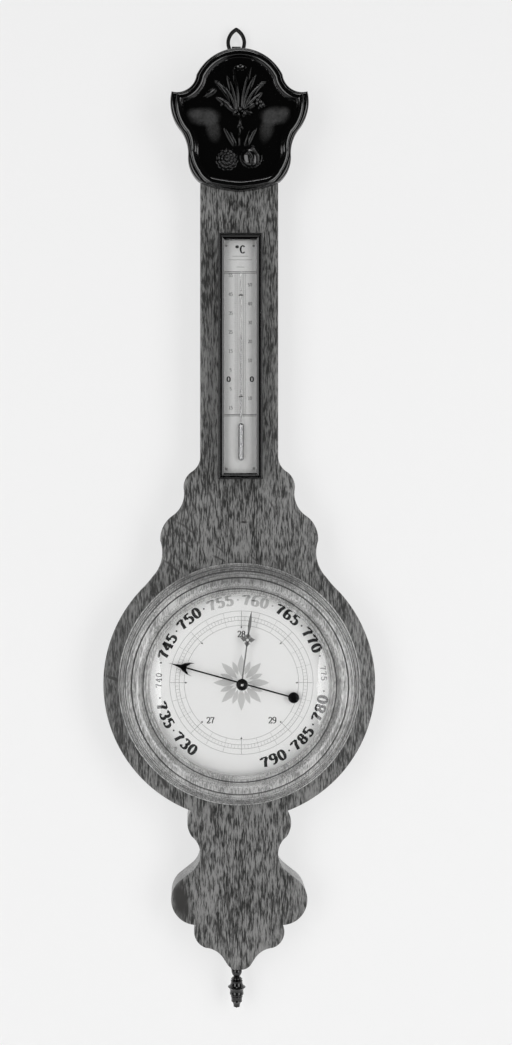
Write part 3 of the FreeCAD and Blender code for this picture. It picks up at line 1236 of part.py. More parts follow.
def build_thermometer_frame():
    """Four mitred sticks of black moulding."""
    width, height = THERMO_W, THERMO_H
    middle_z = (THERMO_TOP_Z + THERMO_BOTTOM_Z) / 2
    sticks = []
    for turn in range(4):
        length, reach = ((width, height / 2), (height, width / 2))[turn % 2]
        stick = frame_stick(length, THERMO_X, middle_z - reach)
        stick.rotate(vec(THERMO_X, 0, middle_z), vec(0, 1, 0), 90 * turn)
        sticks.append(stick)
    return sticks


def build_thermometer_glass():
    x0, x1, z0, z1 = thermo_bounds(THERMO_FACE - THERMO_REBATE + THERMO_GAP)
    return box(x0, x1, front(THERMO_LIP_P), front(THERMO_LIP_P - THERMO_GLASS_T), z0, z1)


def build_thermometer_spacers():
    """Black strips that keep the glass off the scale."""
    x0, x1, z0, z1 = thermo_bounds(THERMO_FACE - THERMO_REBATE + THERMO_GAP)
    y0, y1 = front(THERMO_LIP_P - THERMO_GLASS_T), front(THERMO_SCALE_T)
    return [box(x0, x0 + SPACER_W, y0, y1, z0, z1), box(x1 - SPACER_W, x1, y0, y1, z0, z1),
            box(x0 + SPACER_W, x1 - SPACER_W, y0, y1, z0, z0 + SPACER_W),
            box(x0 + SPACER_W, x1 - SPACER_W, y0, y1, z1 - SPACER_W, z1)]


def build_thermometer_scale():
    """White scale plate behind the thermometer tube."""
    x0, x1, z0, z1 = thermo_bounds(THERMO_FACE - THERMO_REBATE + THERMO_GAP)
    plate = box(x0, x1, front(THERMO_SCALE_T), front(0), z0, z1)
    y0, y1 = front(THERMO_SCALE_T + OVERRUN), front(-OVERRUN)
    holes = [rod(x, z, SCALE_PIN_R, y0, y1) for x, z in scale_pin_places()]
    holes += [rod(x, z, TIE_WIRE_R, y0, y1) for x, z in tie_leg_places()]
    return plate.cut(holes)


def build_scale_pins():
    return [round_head_pin(x, z, front(THERMO_SCALE_T), SCALE_PIN_HEAD_R, SCALE_PIN_R,
                           THERMO_SCALE_T + DIAL_PIN_DEPTH) for x, z in scale_pin_places()]


def tie_leg_places():
    reach = STEM_R + TIE_WIRE_R
    return [(STEM_X + side * reach, z) for side in (-1, 1) for z in TIE_Z]


def stem_profile(bulb_r, stem_r, bottom_z, top_z, bulb_top_z):
    """Profile of a bulb with round ends that runs into a straight stem."""
    shoulder = bulb_top_z - bulb_r
    lean = math.sqrt(0.5)
    end_z = shoulder + math.sqrt(bulb_r ** 2 - stem_r ** 2)
    low = bottom_z + bulb_r
    return [(0, bottom_z), ((bulb_r * lean, low - bulb_r * lean), (bulb_r, low)), (bulb_r, shoulder),
            ((bulb_r * lean, shoulder + bulb_r * lean), (stem_r, end_z)), (stem_r, top_z), (0, top_z)]


def build_thermometer_tube():
    """Glass stem and bulb."""
    outer = spun(stem_profile(BULB_R, STEM_R, BULB_BOTTOM_Z, STEM_TOP_Z, BULB_TOP_Z), STEM_X, front(STEM_P))
    inner = spun(stem_profile(BULB_R - BULB_WALL, STEM_BORE_R, BULB_BOTTOM_Z + BULB_WALL,
                              STEM_TOP_Z - STEM_END_WALL, BULB_TOP_Z - BULB_WALL), STEM_X, front(STEM_P))
    return outer.cut(inner)


def build_thermometer_mercury():
    """Mercury in the bulb and up the bore to the reading."""
    return spun(stem_profile(BULB_R - BULB_WALL, STEM_BORE_R, BULB_BOTTOM_Z + BULB_WALL, READING_Z,
                             BULB_TOP_Z - BULB_WALL), STEM_X, front(STEM_P))


def build_tube_ties():
    """Wire staples over the stem, their legs through the scale plate."""
    ties = []
    reach = STEM_R + TIE_WIRE_R
    for z in TIE_Z:
        section = Part.Face(Part.Wire(Part.makeCircle(TIE_WIRE_R, vec(STEM_X + reach, front(STEM_P), z),
                                                      vec(0, 1, 0))))
        hoop = section.revolve(vec(STEM_X, front(STEM_P), z), vec(0, 0, -1), 180)
        legs = [rod(STEM_X + side * reach, z, TIE_WIRE_R, front(STEM_P), front(0)) for side in (-1, 1)]
        ties.append(hoop.fuse(legs).removeSplitter())
    return ties


BUILDERS = {
    "front_board": build_front_board,
    "back_board": build_back_board,
    "back_cover": build_back_cover,
    "back_cover_screws": build_back_cover_screws,
    "pediment": build_pediment,
    "pediment_screws": build_pediment_screws,
    "hanger_plate": build_hanger_plate,
    "hanger_screws": build_hanger_screws,
    "hanging_ring": build_hanging_ring,
    "finial": build_finial,
    "bezel": build_bezel,
    "bezel_dowels": build_bezel_dowels,
    "dial_glass": build_dial_glass,
    "glass_retainer": build_glass_retainer,
    "dial_plate": build_dial_plate,
    "dial_pins": build_dial_pins,
    "index_hand": build_index_hand,
    "index_collet": build_index_collet,
    "arbor": build_arbor,
    "pulley": build_pulley,
    "bearing_plate": build_bearing_plate,
    "bearing_plate_screws": build_bearing_plate_screws,
    "bridge": build_bridge,
    "bridge_screws": build_bridge_screws,
    "set_hand": build_set_hand,
    "set_knob": build_set_knob,
    "knob_cap": build_knob_cap,
    "set_washer": build_set_washer,
    "barometer_tube": build_barometer_tube,
    "mercury_column": build_mercury_column,
    "cistern_mercury": build_cistern_mercury,
    "float": build_float,
    "float_thread": build_float_thread,
    "counterweight": build_counterweight,
    "counterweight_thread": build_counterweight_thread,
    "tube_blocks": build_tube_blocks,
    "tube_straps": build_tube_straps,
    "strap_pins": build_strap_pins,
    "thermometer_frame": build_thermometer_frame,
    "thermometer_glass": build_thermometer_glass,
    "thermometer_spacers": build_thermometer_spacers,
    "thermometer_scale": build_thermometer_scale,
    "scale_pins": build_scale_pins,
    "thermometer_tube": build_thermometer_tube,
    "thermometer_mercury": build_thermometer_mercury,
    "tube_ties": build_tube_ties,
}


def main():
    os.makedirs("parts", exist_ok=True)
    for name, builder in BUILDERS.items():
        shape = builder()
        if isinstance(shape, list):
            shape = Part.makeCompound(shape)
        shape.exportStep("parts/" + name + ".step")
        print(name, len(shape.Solids), "solids", round(shape.Volume, 1), "mm3", shape.isValid())


main()
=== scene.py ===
"""Banjo barometer: the finishes and the fine forms of a wall-hung wheel barometer, set on its frame.

Lengths in the classes are millimetres in the frame of the part: X to the right seen from the front,
Y into the wall, Z up. A height "proud" is measured forward from the front of the front board.
"""

import json
import logging
import math
from collections.abc import Iterable, Sequence
from dataclasses import dataclass, field
from enum import Enum

import bmesh
import bpy
import numpy as np
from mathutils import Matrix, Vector
from mathutils.kdtree import KDTree

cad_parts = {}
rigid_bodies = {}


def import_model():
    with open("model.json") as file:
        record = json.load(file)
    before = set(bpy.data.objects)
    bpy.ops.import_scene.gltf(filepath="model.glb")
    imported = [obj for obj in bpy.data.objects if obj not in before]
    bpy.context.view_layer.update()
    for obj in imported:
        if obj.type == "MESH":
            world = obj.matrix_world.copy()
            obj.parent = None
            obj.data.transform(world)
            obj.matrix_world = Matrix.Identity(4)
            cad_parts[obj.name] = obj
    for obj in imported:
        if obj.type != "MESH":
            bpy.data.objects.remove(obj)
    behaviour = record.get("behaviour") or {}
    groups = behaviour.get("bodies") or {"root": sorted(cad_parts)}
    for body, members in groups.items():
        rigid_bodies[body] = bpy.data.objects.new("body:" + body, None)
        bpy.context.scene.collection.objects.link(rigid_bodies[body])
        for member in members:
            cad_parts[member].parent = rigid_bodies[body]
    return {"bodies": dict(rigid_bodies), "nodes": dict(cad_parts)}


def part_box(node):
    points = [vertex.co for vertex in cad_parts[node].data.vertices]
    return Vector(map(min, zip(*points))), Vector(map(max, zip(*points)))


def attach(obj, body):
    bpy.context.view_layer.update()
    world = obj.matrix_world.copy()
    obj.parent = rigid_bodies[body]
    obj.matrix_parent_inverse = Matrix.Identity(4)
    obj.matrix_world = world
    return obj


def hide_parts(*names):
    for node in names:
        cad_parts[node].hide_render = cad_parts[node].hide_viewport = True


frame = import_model()

MM = 0.001
BOARD_FACE_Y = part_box("front_board")[0].y / MM
LOG = logging.getLogger("barometer")

Point = tuple[float, float]
Step = tuple[Point, float]


class Body(Enum):
    """Moving bodies of the barometer."""

    CASE = "case"
    RING = "ring"
    INDEX = "index"
    SET_POINTER = "set_pointer"
    FLOAT = "float"
    COUNTERWEIGHT = "counterweight"


class Axis(Enum):
    """Directions that a turned piece can be turned about."""

    OUT = "along Y"
    UP = "along Z"


def linear(hex_colour: str) -> tuple[float, float, float, float]:
    """Turns an sRGB hex colour into linear light.

    Args:
        hex_colour: six hex digits, with or without a leading hash.

    Returns:
        Red, green, blue and an alpha of 1.
    """
    digits = hex_colour.lstrip("#")
    channels = [int(digits[i:i + 2], 16) / 255 for i in (0, 2, 4)]
    red, green, blue = (c / 12.92 if c <= 0.04045 else ((c + 0.055) / 1.055) ** 2.4 for c in channels)
    return red, green, blue, 1.0


def add_node(tree: bpy.types.NodeTree, kind: str, links: dict | None = None, **settings) -> bpy.types.Node:
    """Adds a node with its settings and its inputs.

    Args:
        tree: the node tree.
        kind: the node's type name.
        links: input name or number to a value, or to the output that feeds it.
        settings: properties of the node itself.

    Returns:
        The new node.
    """
    node = tree.nodes.new(kind)
    for name, value in settings.items():
        setattr(node, name, value)
    for key, value in (links or {}).items():
        if isinstance(value, bpy.types.NodeSocket):
            tree.links.new(value, node.inputs[key])
        else:
            node.inputs[key].default_value = value
    return node


def blend(tree: bpy.types.NodeTree, share: bpy.types.NodeSocket, under: object,
          over: object) -> bpy.types.NodeSocket:
    """Colour that goes from one colour to another by a share.

    Args:
        tree: the node tree.
        share: 0 for the first colour, 1 for the second.
        under: the first colour, or the output that gives it.
        over: the second colour, or the output that gives it.

    Returns:
        The mixed colour.
    """
    mix = add_node(tree, "ShaderNodeMix", {"Factor": share, "A": under, "B": over}, data_type="RGBA")
    return mix.outputs["Result"]


def added(tree: bpy.types.NodeTree, total: bpy.types.NodeSocket | None,
          share: bpy.types.NodeSocket) -> bpy.types.NodeSocket:
    """Sum of a total and one more share, held between 0 and 1.

    Args:
        tree: the node tree.
        total: the sum so far, or None at the start.
        share: what is added to it.

    Returns:
        The new sum.
    """
    if total is None:
        return share
    return add_node(tree, "ShaderNodeMath", {0: total, 1: share}, operation="ADD", use_clamp=True).outputs[0]


def either(tree: bpy.types.NodeTree, *rays: bpy.types.NodeSocket) -> bpy.types.NodeSocket:
    """1 where any of the light path's outputs is 1.

    Args:
        tree: the node tree.
        rays: outputs that are 0 or 1.

    Returns:
        The output that tells.
    """
    found = rays[0]
    for ray in rays[1:]:
        found = add_node(tree, "ShaderNodeMath", {0: found, 1: ray}, operation="MAXIMUM").outputs[0]
    return found


def front(proud: float) -> float:
    """Y, in millimetres, of a plane that stands the given height proud of the front board."""
    return BOARD_FACE_Y - proud


def arc_points(a: Point, b: Point, bulge: float, spacing: float) -> list[Point]:
    """Points along an arc from a to b, without a itself.

    Args:
        a: start of the arc.
        b: end of the arc.
        bulge: height of the arc over its chord, to the left of the way from a to b; 0 is a straight.
        spacing: greatest distance between two points.

    Returns:
        The points, ending with b.
    """
    run = (b[0] - a[0], b[1] - a[1])
    length = math.hypot(*run)
    if bulge == 0:
        return [b]
    side = math.copysign(1, bulge)
    height = abs(bulge)
    radius = (length ** 2 / 4 + height ** 2) / (2 * height)
    half = math.atan2(length / 2, radius - height)
    along = (run[0] / length, run[1] / length)
    up = (-along[1] * side, along[0] * side)
    middle = ((a[0] + b[0]) / 2 + up[0] * (height - radius), (a[1] + b[1]) / 2 + up[1] * (height - radius))
    count = max(2, math.ceil(2 * half * radius / spacing))
    points = []
    for i in range(1, count + 1):
        turn = -half + 2 * half * i / count
        points.append((middle[0] + radius * (math.sin(turn) * along[0] + math.cos(turn) * up[0]),
                       middle[1] + radius * (math.sin(turn) * along[1] + math.cos(turn) * up[1])))
    return points


def path_points(start: Point, steps: Iterable[Step], spacing: float = 1.0) -> list[Point]:
    """Points along a path of straights and arcs.

    Args:
        start: first point.
        steps: pairs of the next point and the bulge of the way to it.
        spacing: greatest distance between two points of an arc.

    Returns:
        All points of the path, start and end included.
    """
    points = [start]
    for end, bulge in steps:
        points += arc_points(points[-1], end, bulge, spacing)
    return points


def mirrored_loop(right_side: Sequence[Point]) -> list[Point]:
    """Closed outline from its right side, top to bottom, and the mirror image of that side."""
    return list(right_side) + [(-x, z) for x, z in reversed(right_side) if abs(x) > 1e-6]


def inset_loop(loop: Sequence[Point], inset: float) -> list[Point]:
    """Outline drawn inwards by a distance, for an outline that runs clockwise seen from the front.

    Args:
        loop: the closed outline.
        inset: how far each side moves inwards.

    Returns:
        An outline with as many points.
    """
    ring = np.array(loop)
    after = np.roll(ring, -1, axis=0) - ring
    after /= np.linalg.norm(after, axis=1, keepdims=True)
    before = np.roll(after, 1, axis=0)
    normal = np.stack([after[:, 1], -after[:, 0]], axis=1) + np.stack([before[:, 1], -before[:, 0]], axis=1)
    normal /= np.linalg.norm(normal, axis=1, keepdims=True)
    mitre = np.clip(np.abs((normal * np.stack([after[:, 1], -after[:, 0]], axis=1)).sum(axis=1)), 0.6, 1)
    return [tuple(p) for p in ring + normal * (inset / mitre)[:, None]]


@dataclass(frozen=True)
class Streak:
    """Soft stretched patch at a place on a face: a dark streak in the wood, painted shade, or a painted
    reflection, as each finish uses it.

    The lean is clockwise from upright, in degrees.
    """

    x: float
    z: float
    length: float
    width: float
    lean: float
    depth: float


def streak_shade(tree: bpy.types.NodeTree, place: bpy.types.NodeSocket,
                 streaks: Sequence[Streak]) -> bpy.types.NodeSocket:
    """Sum of all streaks, from 0 where there is none to 1 in the middle of the strongest.

    Args:
        tree: the node tree.
        place: the object coordinates, in metres.
        streaks: the streaks.

    Returns:
        The share, with edges that wander a little.
    """
    wander = add_node(tree, "ShaderNodeTexNoise", {"Vector": place, "Scale": 1 / (9 * MM), "Detail": 2.0})
    centred = add_node(tree, "ShaderNodeVectorMath", {0: wander.outputs["Color"], 1: (0.5, 0.5, 0.5)},
                       operation="SUBTRACT")
    swayed = add_node(tree, "ShaderNodeVectorMath", {0: centred.outputs[0], 1: (4 * MM,) * 3, 2: place},
                      operation="MULTIPLY_ADD")
    total = None
    for streak in streaks:
        spot = add_node(tree, "ShaderNodeMapping", {
            "Vector": swayed.outputs[0],
            "Location": (streak.x * MM, 0, streak.z * MM),
            "Rotation": (0, math.radians(streak.lean), 0),
            "Scale": (streak.width / 2 * MM, 1.0, streak.length / 2 * MM)}, vector_type="TEXTURE")
        reach = add_node(tree, "ShaderNodeVectorMath", {0: spot.outputs[0]}, operation="LENGTH")
        shade = add_node(tree, "ShaderNodeMapRange", {
            "Value": reach.outputs["Value"], "From Min": 0.3, "From Max": 1.1,
            "To Min": streak.depth, "To Max": 0.0}, interpolation_type="SMOOTHSTEP")
        total = added(tree, total, shade.outputs[0])
    return total


@dataclass(frozen=True)
class Finish:
    """What a surface is made of and how it was finished."""

    title: str
    slot: str

    def paint(self, tree: bpy.types.NodeTree, shader: bpy.types.Node) -> bpy.types.NodeSocket:
        """Sets the surface shader and adds the nodes that feed it.

        Args:
            tree: the material's node tree.
            shader: its Principled BSDF.

        Returns:
            The shader output that goes to the material.
        """
        raise NotImplementedError

    def material(self) -> bpy.types.Material:
        """The Blender material of this finish, made once.

        Returns:
            The material, the same one for every piece of this finish.
        """
        found = bpy.data.materials.get(self.title)
        if found:
            return found
        material = bpy.data.materials.new(self.title)
        material.use_nodes = True
        tree = material.node_tree
        tree.nodes.clear()
        shader = add_node(tree, "ShaderNodeBsdfPrincipled")
        surface = self.paint(tree, shader)
        add_node(tree, "ShaderNodeOutputMaterial", {"Surface": surface})
        return material


@dataclass(frozen=True)
class Timber(Finish):
    """Wood with its grain along the height of the case.

    The fibres show as short upright dashes, the pores as darker flecks and the figure as slow
    changes of tone. All sizes are millimetres.
    """

    light: str = "#8c8a88"
    dark: str = "#5c5a58"
    pore: str = "#2c2b2a"
    pore_rise: float = 0.09
    tone_low: float = 0.44
    tone_high: float = 0.56
    fibre: Point = (1.2, 9.0)
    figure: Point = (18.0, 90.0)
    mottle: Point = (6.0, 14.0)
    pores: Point = (0.8, 7.0)
    pore_share: float = 0.58
    fibre_weight: float = 0.62
    figure_weight: float = 0.23
    mottle_weight: float = 0.15
    roughness: float = 0.34
    coat: float = 0.1
    coat_roughness: float = 0.3
    relief: float = 0.06
    streaks: tuple[Streak, ...] = ()
    # radius and strength of the painted shade in each quirk of a turned ring
    rings: tuple[Point, ...] = ()

    def grain(self, tree: bpy.types.NodeTree, place: bpy.types.NodeSocket, size: Point,
              detail: float) -> bpy.types.NodeSocket:
        """Noise stretched along the grain.

        Args:
            tree: the node tree.
            place: the object coordinates, in metres.
            size: width and length of one feature.
            detail: octaves of the noise.

        Returns:
            The noise factor, about 0.5.
        """
        width, length = size
        scale = (1 / (width * MM), 1 / (width * MM), 1 / (length * MM))
        stretched = add_node(tree, "ShaderNodeMapping", {"Vector": place, "Scale": scale})
        noise = add_node(tree, "ShaderNodeTexNoise", {"Vector": stretched.outputs[0], "Scale": 1.0,
                                                      "Detail": detail, "Roughness": 0.6})
        return noise.outputs["Fac"]

    def ring_shade(self, tree: bpy.types.NodeTree, place: bpy.types.NodeSocket) -> bpy.types.NodeSocket:
        """Painted shade in the quirks of a turned ring, round the middle of the round board.

        Args:
            tree: the material's node tree.
            place: the object coordinates, in metres.

        Returns:
            The share, from 0 away from the quirks to 1 where the painted shade is darkest.
        """
        flat = add_node(tree, "ShaderNodeVectorMath", {0: place, 1: (1.0, 0.0, 1.0)}, operation="MULTIPLY")
        radius = add_node(tree, "ShaderNodeVectorMath", {0: flat.outputs[0]}, operation="LENGTH")
        total = None
        for ring, depth in self.rings:
            away = add_node(tree, "ShaderNodeMath", {0: radius.outputs["Value"], 1: ring * MM},
                            operation="SUBTRACT")
            off = add_node(tree, "ShaderNodeMath", {0: away.outputs[0]}, operation="ABSOLUTE")
            shade = add_node(tree, "ShaderNodeMapRange", {
                "Value": off.outputs[0], "From Min": 0.15 * MM, "From Max": 0.9 * MM, "To Min": depth,
                "To Max": 0.0}, interpolation_type="SMOOTHSTEP")
            total = added(tree, total, shade.outputs[0])
        return total

    def paint(self, tree: bpy.types.NodeTree, shader: bpy.types.Node) -> bpy.types.NodeSocket:
        """Grain, pores, streaks (some of them painted shade), painted shade in the quirks of turned rings,
        and a thin coat of oil or wax.

        Args:
            tree: the material's node tree.
            shader: its Principled BSDF.

        Returns:
            The shader's output.
        """
        place = add_node(tree, "ShaderNodeTexCoord").outputs["Object"]
        fibres = self.grain(tree, place, self.fibre, 3.0)
        figure = self.grain(tree, place, self.figure, 3.0)
        mottle = self.grain(tree, place, self.mottle, 2.0)
        mixed = None
        for noise, weight in ((fibres, self.fibre_weight), (figure, self.figure_weight),
                              (mottle, self.mottle_weight)):
            mixed = add_node(tree, "ShaderNodeMath", {0: noise, 1: weight, 2: mixed or 0.0},
                             operation="MULTIPLY_ADD").outputs[0]
        tone = add_node(tree, "ShaderNodeMapRange", {"Value": mixed, "From Min": self.tone_low,
                                                     "From Max": self.tone_high})
        wood = blend(tree, tone.outputs[0], linear(self.dark), linear(self.light))
        specks = add_node(tree, "ShaderNodeMapRange", {
            "Value": self.grain(tree, place, self.pores, 2.0), "From Min": self.pore_share,
            "From Max": self.pore_share + self.pore_rise, "To Max": 0.7})
        pore = linear(self.pore)
        colour = blend(tree, specks.outputs[0], wood, pore)
        # streaks: dark streaks in the wood, and painted shade where a finish lists it
        if self.streaks:
            colour = blend(tree, streak_shade(tree, place, self.streaks), colour, pore)
        # painted shade in the quirks of the turning
        if self.rings:
            colour = blend(tree, self.ring_shade(tree, place), colour, pore)
        relief = add_node(tree, "ShaderNodeBump", {"Height": fibres, "Distance": self.relief * MM,
                                                   "Strength": 0.6})
        tree.links.new(colour, shader.inputs["Base Color"])
        tree.links.new(relief.outputs[0], shader.inputs["Normal"])
        shader.inputs["Roughness"].default_value = self.roughness
        shader.inputs["Coat Weight"].default_value = self.coat
        shader.inputs["Coat Roughness"].default_value = self.coat_roughness
        return shader.outputs[0]


@dataclass(frozen=True)
class Polish(Finish):
    """Opaque, even surface such as ebonised wood, metal, card or ink."""

    colour: str = "#808080"
    shade: str = "#707070"
    grit: float = 2.0
    metallic: float = 0.0
    roughness: float = 0.4
    roughness_sway: float = 0.08
    coat: float = 0.0
    # grey and patches of a painted reflection, laid lighter over the surface's colour
    bloom: str = "#5a5a5a"
    bloomed: tuple[Streak, ...] = ()

    def paint(self, tree: bpy.types.NodeTree, shader: bpy.types.Node) -> bpy.types.NodeSocket:
        """Two close tones in a fine cloud, with grey patches of painted reflection where they are listed,
        and a gloss that wanders.

        Args:
            tree: the material's node tree.
            shader: its Principled BSDF.

        Returns:
            The shader's output.
        """
        place = add_node(tree, "ShaderNodeTexCoord").outputs["Object"]
        cloud = add_node(tree, "ShaderNodeTexNoise", {"Vector": place, "Scale": 1 / (self.grit * MM),
                                                      "Detail": 3.0, "Roughness": 0.55})
        colour = blend(tree, cloud.outputs["Fac"], linear(self.shade), linear(self.colour))
        # painted reflection: lighter grey patches
        if self.bloomed:
            colour = self.dusted(tree, place, colour)
        tree.links.new(colour, shader.inputs["Base Color"])
        gloss = add_node(tree, "ShaderNodeMapRange", {
            "Value": cloud.outputs["Fac"], "To Min": self.roughness - self.roughness_sway,
            "To Max": self.roughness + self.roughness_sway})
        tree.links.new(gloss.outputs[0], shader.inputs["Roughness"])
        shader.inputs["Metallic"].default_value = self.metallic
        shader.inputs["Coat Weight"].default_value = self.coat
        shader.inputs["Coat Roughness"].default_value = 0.12
        return shader.outputs[0]

    def dusted(self, tree: bpy.types.NodeTree, place: bpy.types.NodeSocket,
               colour: bpy.types.NodeSocket) -> bpy.types.NodeSocket:
        """Colour with grey patches of painted reflection on it, broken by a fine noise.

        Args:
            tree: the material's node tree.
            place: the object coordinates, in metres.
            colour: the colour without the painted reflection.

        Returns:
            The colour with the painted reflection on it.
        """
        fine = add_node(tree, "ShaderNodeTexNoise", {"Vector": place, "Scale": 1 / (2.5 * MM),
                                                     "Detail": 4.0, "Roughness": 0.7})
        speckle = add_node(tree, "ShaderNodeMapRange", {"Value": fine.outputs["Fac"], "From Min": 0.3,
                                                        "From Max": 0.7, "To Min": 0.45, "To Max": 1.0})
        share = add_node(tree, "ShaderNodeMath", {0: streak_shade(tree, place, self.bloomed),
                                                  1: speckle.outputs[0]}, operation="MULTIPLY")
        return blend(tree, share.outputs[0], colour, linear(self.bloom))


@dataclass(frozen=True)
class ClearGlass(Finish):
    """Blown or drawn glass that lets the studio light through to what lies behind it."""

    tint: str = "#f8f8f8"
    ior: float = 1.5
    ripple: float = 60.0

    def paint(self, tree: bpy.types.NodeTree, shader: bpy.types.Node) -> bpy.types.NodeSocket:
        """Clear refraction, with a slow ripple, that lets plain light pass straight through.

        Args:
            tree: the material's node tree.
            shader: its Principled BSDF.

        Returns:
            Glass, mixed with a clear way through for plain light.
        """
        place = add_node(tree, "ShaderNodeTexCoord").outputs["Object"]
        wave = add_node(tree, "ShaderNodeTexNoise", {"Vector": place, "Scale": 1 / (self.ripple * MM)})
        bump = add_node(tree, "ShaderNodeBump", {"Height": wave.outputs["Fac"], "Distance": 0.1 * MM,
                                                 "Strength": 0.3})
        tree.links.new(bump.outputs[0], shader.inputs["Normal"])
        shader.inputs["Base Color"].default_value = linear(self.tint)
        shader.inputs["Roughness"].default_value = 0.01
        shader.inputs["IOR"].default_value = self.ior
        shader.inputs["Transmission Weight"].default_value = 1.0
        clear = add_node(tree, "ShaderNodeBsdfTransparent", {"Color": linear(self.tint)})
        ray = add_node(tree, "ShaderNodeLightPath")
        passing = either(tree, ray.outputs["Is Shadow Ray"], ray.outputs["Is Diffuse Ray"])
        mix = add_node(tree, "ShaderNodeMixShader", {0: passing, 1: shader.outputs[0], 2: clear.outputs[0]})
        return mix.outputs[0]


WALNUT_STREAKS = (
    Streak(-28.8, 187.4, 34, 3.6, -20, 0.75),
    Streak(-8.3, 151.9, 32, 3.2, -24, 0.5),
    Streak(32.7, 177.9, 28, 3.2, -28, 0.6),
    Streak(34.7, 131.9, 28, 3.0, -28, 0.5),
    Streak(14.2, 125.9, 18, 2.6, -45, 0.6),
    Streak(-53.8, 156.9, 37, 3.2, -57, 0.7),
    Streak(-52.8, 140.4, 23, 3.0, -55, 0.65),
    Streak(-68.3, 118.4, 26, 3.4, -52, 0.9),
    Streak(-19.8, 134.9, 18, 2.8, -45, 0.7),
    Streak(-19.8, 124.9, 22, 3.0, -62, 0.75),
    Streak(-85.8, 94.9, 16, 3.4, -33, 0.7),
    Streak(4.7, 161.4, 3.0, 9.0, 0, 1.0),
    Streak(-126.3, 5.4, 19, 4.0, -67, 0.8),
    Streak(-75.3, -98.1, 23, 5.0, -39, 0.9),
    Streak(-26.3, -133.1, 36, 3.4, -15, 0.7),
    Streak(-36.3, -177.6, 34, 3.2, -8, 0.75),
    Streak(-29.8, -203.6, 28, 3.0, -7, 0.75),
    Streak(-20.3, -245.6, 34, 5.2, -25, 0.95),
    Streak(-11.3, -222.6, 30, 4.2, -9, 0.65),
    Streak(32.0, -220.1, 33, 2.8, -3, 0.7),
    Streak(37.7, -184.1, 20, 2.6, 0, 0.6),
    Streak(58.7, -218.6, 17, 2.8, 0, 0.6),
    Streak(-59.0, -216.0, 56, 22.0, -8, 1.0),
    # broad darkening of the left side of the round board: partly darker wood, partly painted shade from the
    # side lighting
    Streak(-122.0, 20.0, 230, 50.0, 0, 0.4),
    Streak(-84.0, 104.0, 90, 40.0, -30, 0.25),
    # darker strips down both sides of the thermometer frame
    Streak(-33.0, 322.0, 300, 22.0, 0, 0.16),
    Streak(34.0, 322.0, 300, 22.0, 0, 0.16),
)

OILED_WALNUT = Timber("oiled walnut plank, scraped and oiled", "oiled_wood", light="#7e7e7d",
                      dark="#222221", streaks=WALNUT_STREAKS)
# The two broad streaks of the turned walnut darken the top and the bottom of the ring: painted shade.
TURNED_WALNUT = Timber("pale turned walnut, waxed", "turned_wood", light="#bcbcbb", dark="#7a7a79",
                       streaks=(Streak(0.0, 108.0, 34.0, 190.0, 0.0, 0.48),
                                Streak(0.0, -112.0, 30.0, 190.0, 0.0, 0.2)),
                       pore="#303030", fibre=(0.9, 7.0), figure=(22.0, 60.0), roughness=0.3, coat=1.0,
                       coat_roughness=0.17, pore_share=0.66,
                       # painted shade in the four quirks of the turning
                       rings=((117.5, 0.9), (113.4, 0.85), (106.9, 0.95), (95.9, 0.9)))
PLANED_PINE = Timber("planed pine, unfinished", "cover_wood", light="#a9a9a7", dark="#838381",
                     pore="#5f5f5d", fibre=(1.6, 40.0), roughness=0.7, coat=0.0)
EBONISED_PEAR = Polish("ebonised pearwood, French polished", "ebonised_wood", colour="#020202",
                       shade="#040404", grit=1.4, roughness=0.14, roughness_sway=0.03, coat=0.25)
# Lighter grey patches on the crest's dished field, where its hollow would reflect the side softboxes:
# painted reflection.
PAINTED_FIELD_REFLECTIONS = (
    Streak(-35.0, 565.0, 20.0, 34.0, 0.0, 0.8), Streak(-27.0, 556.0, 36.0, 16.0, -12.0, 0.6),
    Streak(-45.0, 569.0, 12.0, 16.0, 0.0, 0.5), Streak(35.0, 566.0, 20.0, 32.0, 0.0, 0.9),
    Streak(28.0, 557.0, 38.0, 16.0, 12.0, 0.6), Streak(45.0, 570.0, 12.0, 14.0, 0.0, 0.5))
CARVED_PEAR = Polish("ebonised pearwood, carved and polished, dulled on its field", "ebonised_wood",
                     colour="#020202", shade="#040404", grit=1.4, roughness=0.13, roughness_sway=0.03,
                     coat=0.5, bloom="#464646", bloomed=PAINTED_FIELD_REFLECTIONS)
DIAL_CARD = Polish("enamelled dial card, printed", "dial_card", colour="#f5f5f4", shade="#f0f0ef", grit=3.0,
                   roughness=0.6)
SCALE_CARD = Polish("scale card, pasted paper", "scale_card", colour="#dededd", shade="#d0d0cf", grit=4.0,
                    roughness=0.65)
BLACK_INK = Polish("black printer's ink", "dial_card", colour="#0b0b0b", shade="#141414", grit=1.0,
                   roughness=0.55)
GREY_INK = Polish("grey printer's ink, worn", "dial_card", colour="#8e8e8d", shade="#9c9c9b", grit=1.0,
                  roughness=0.6)
PALE_INK = Polish("pale printed tint of the rosette", "dial_card", colour="#d6d6d5", shade="#bcbcbb",
                  grit=0.8, roughness=0.6)
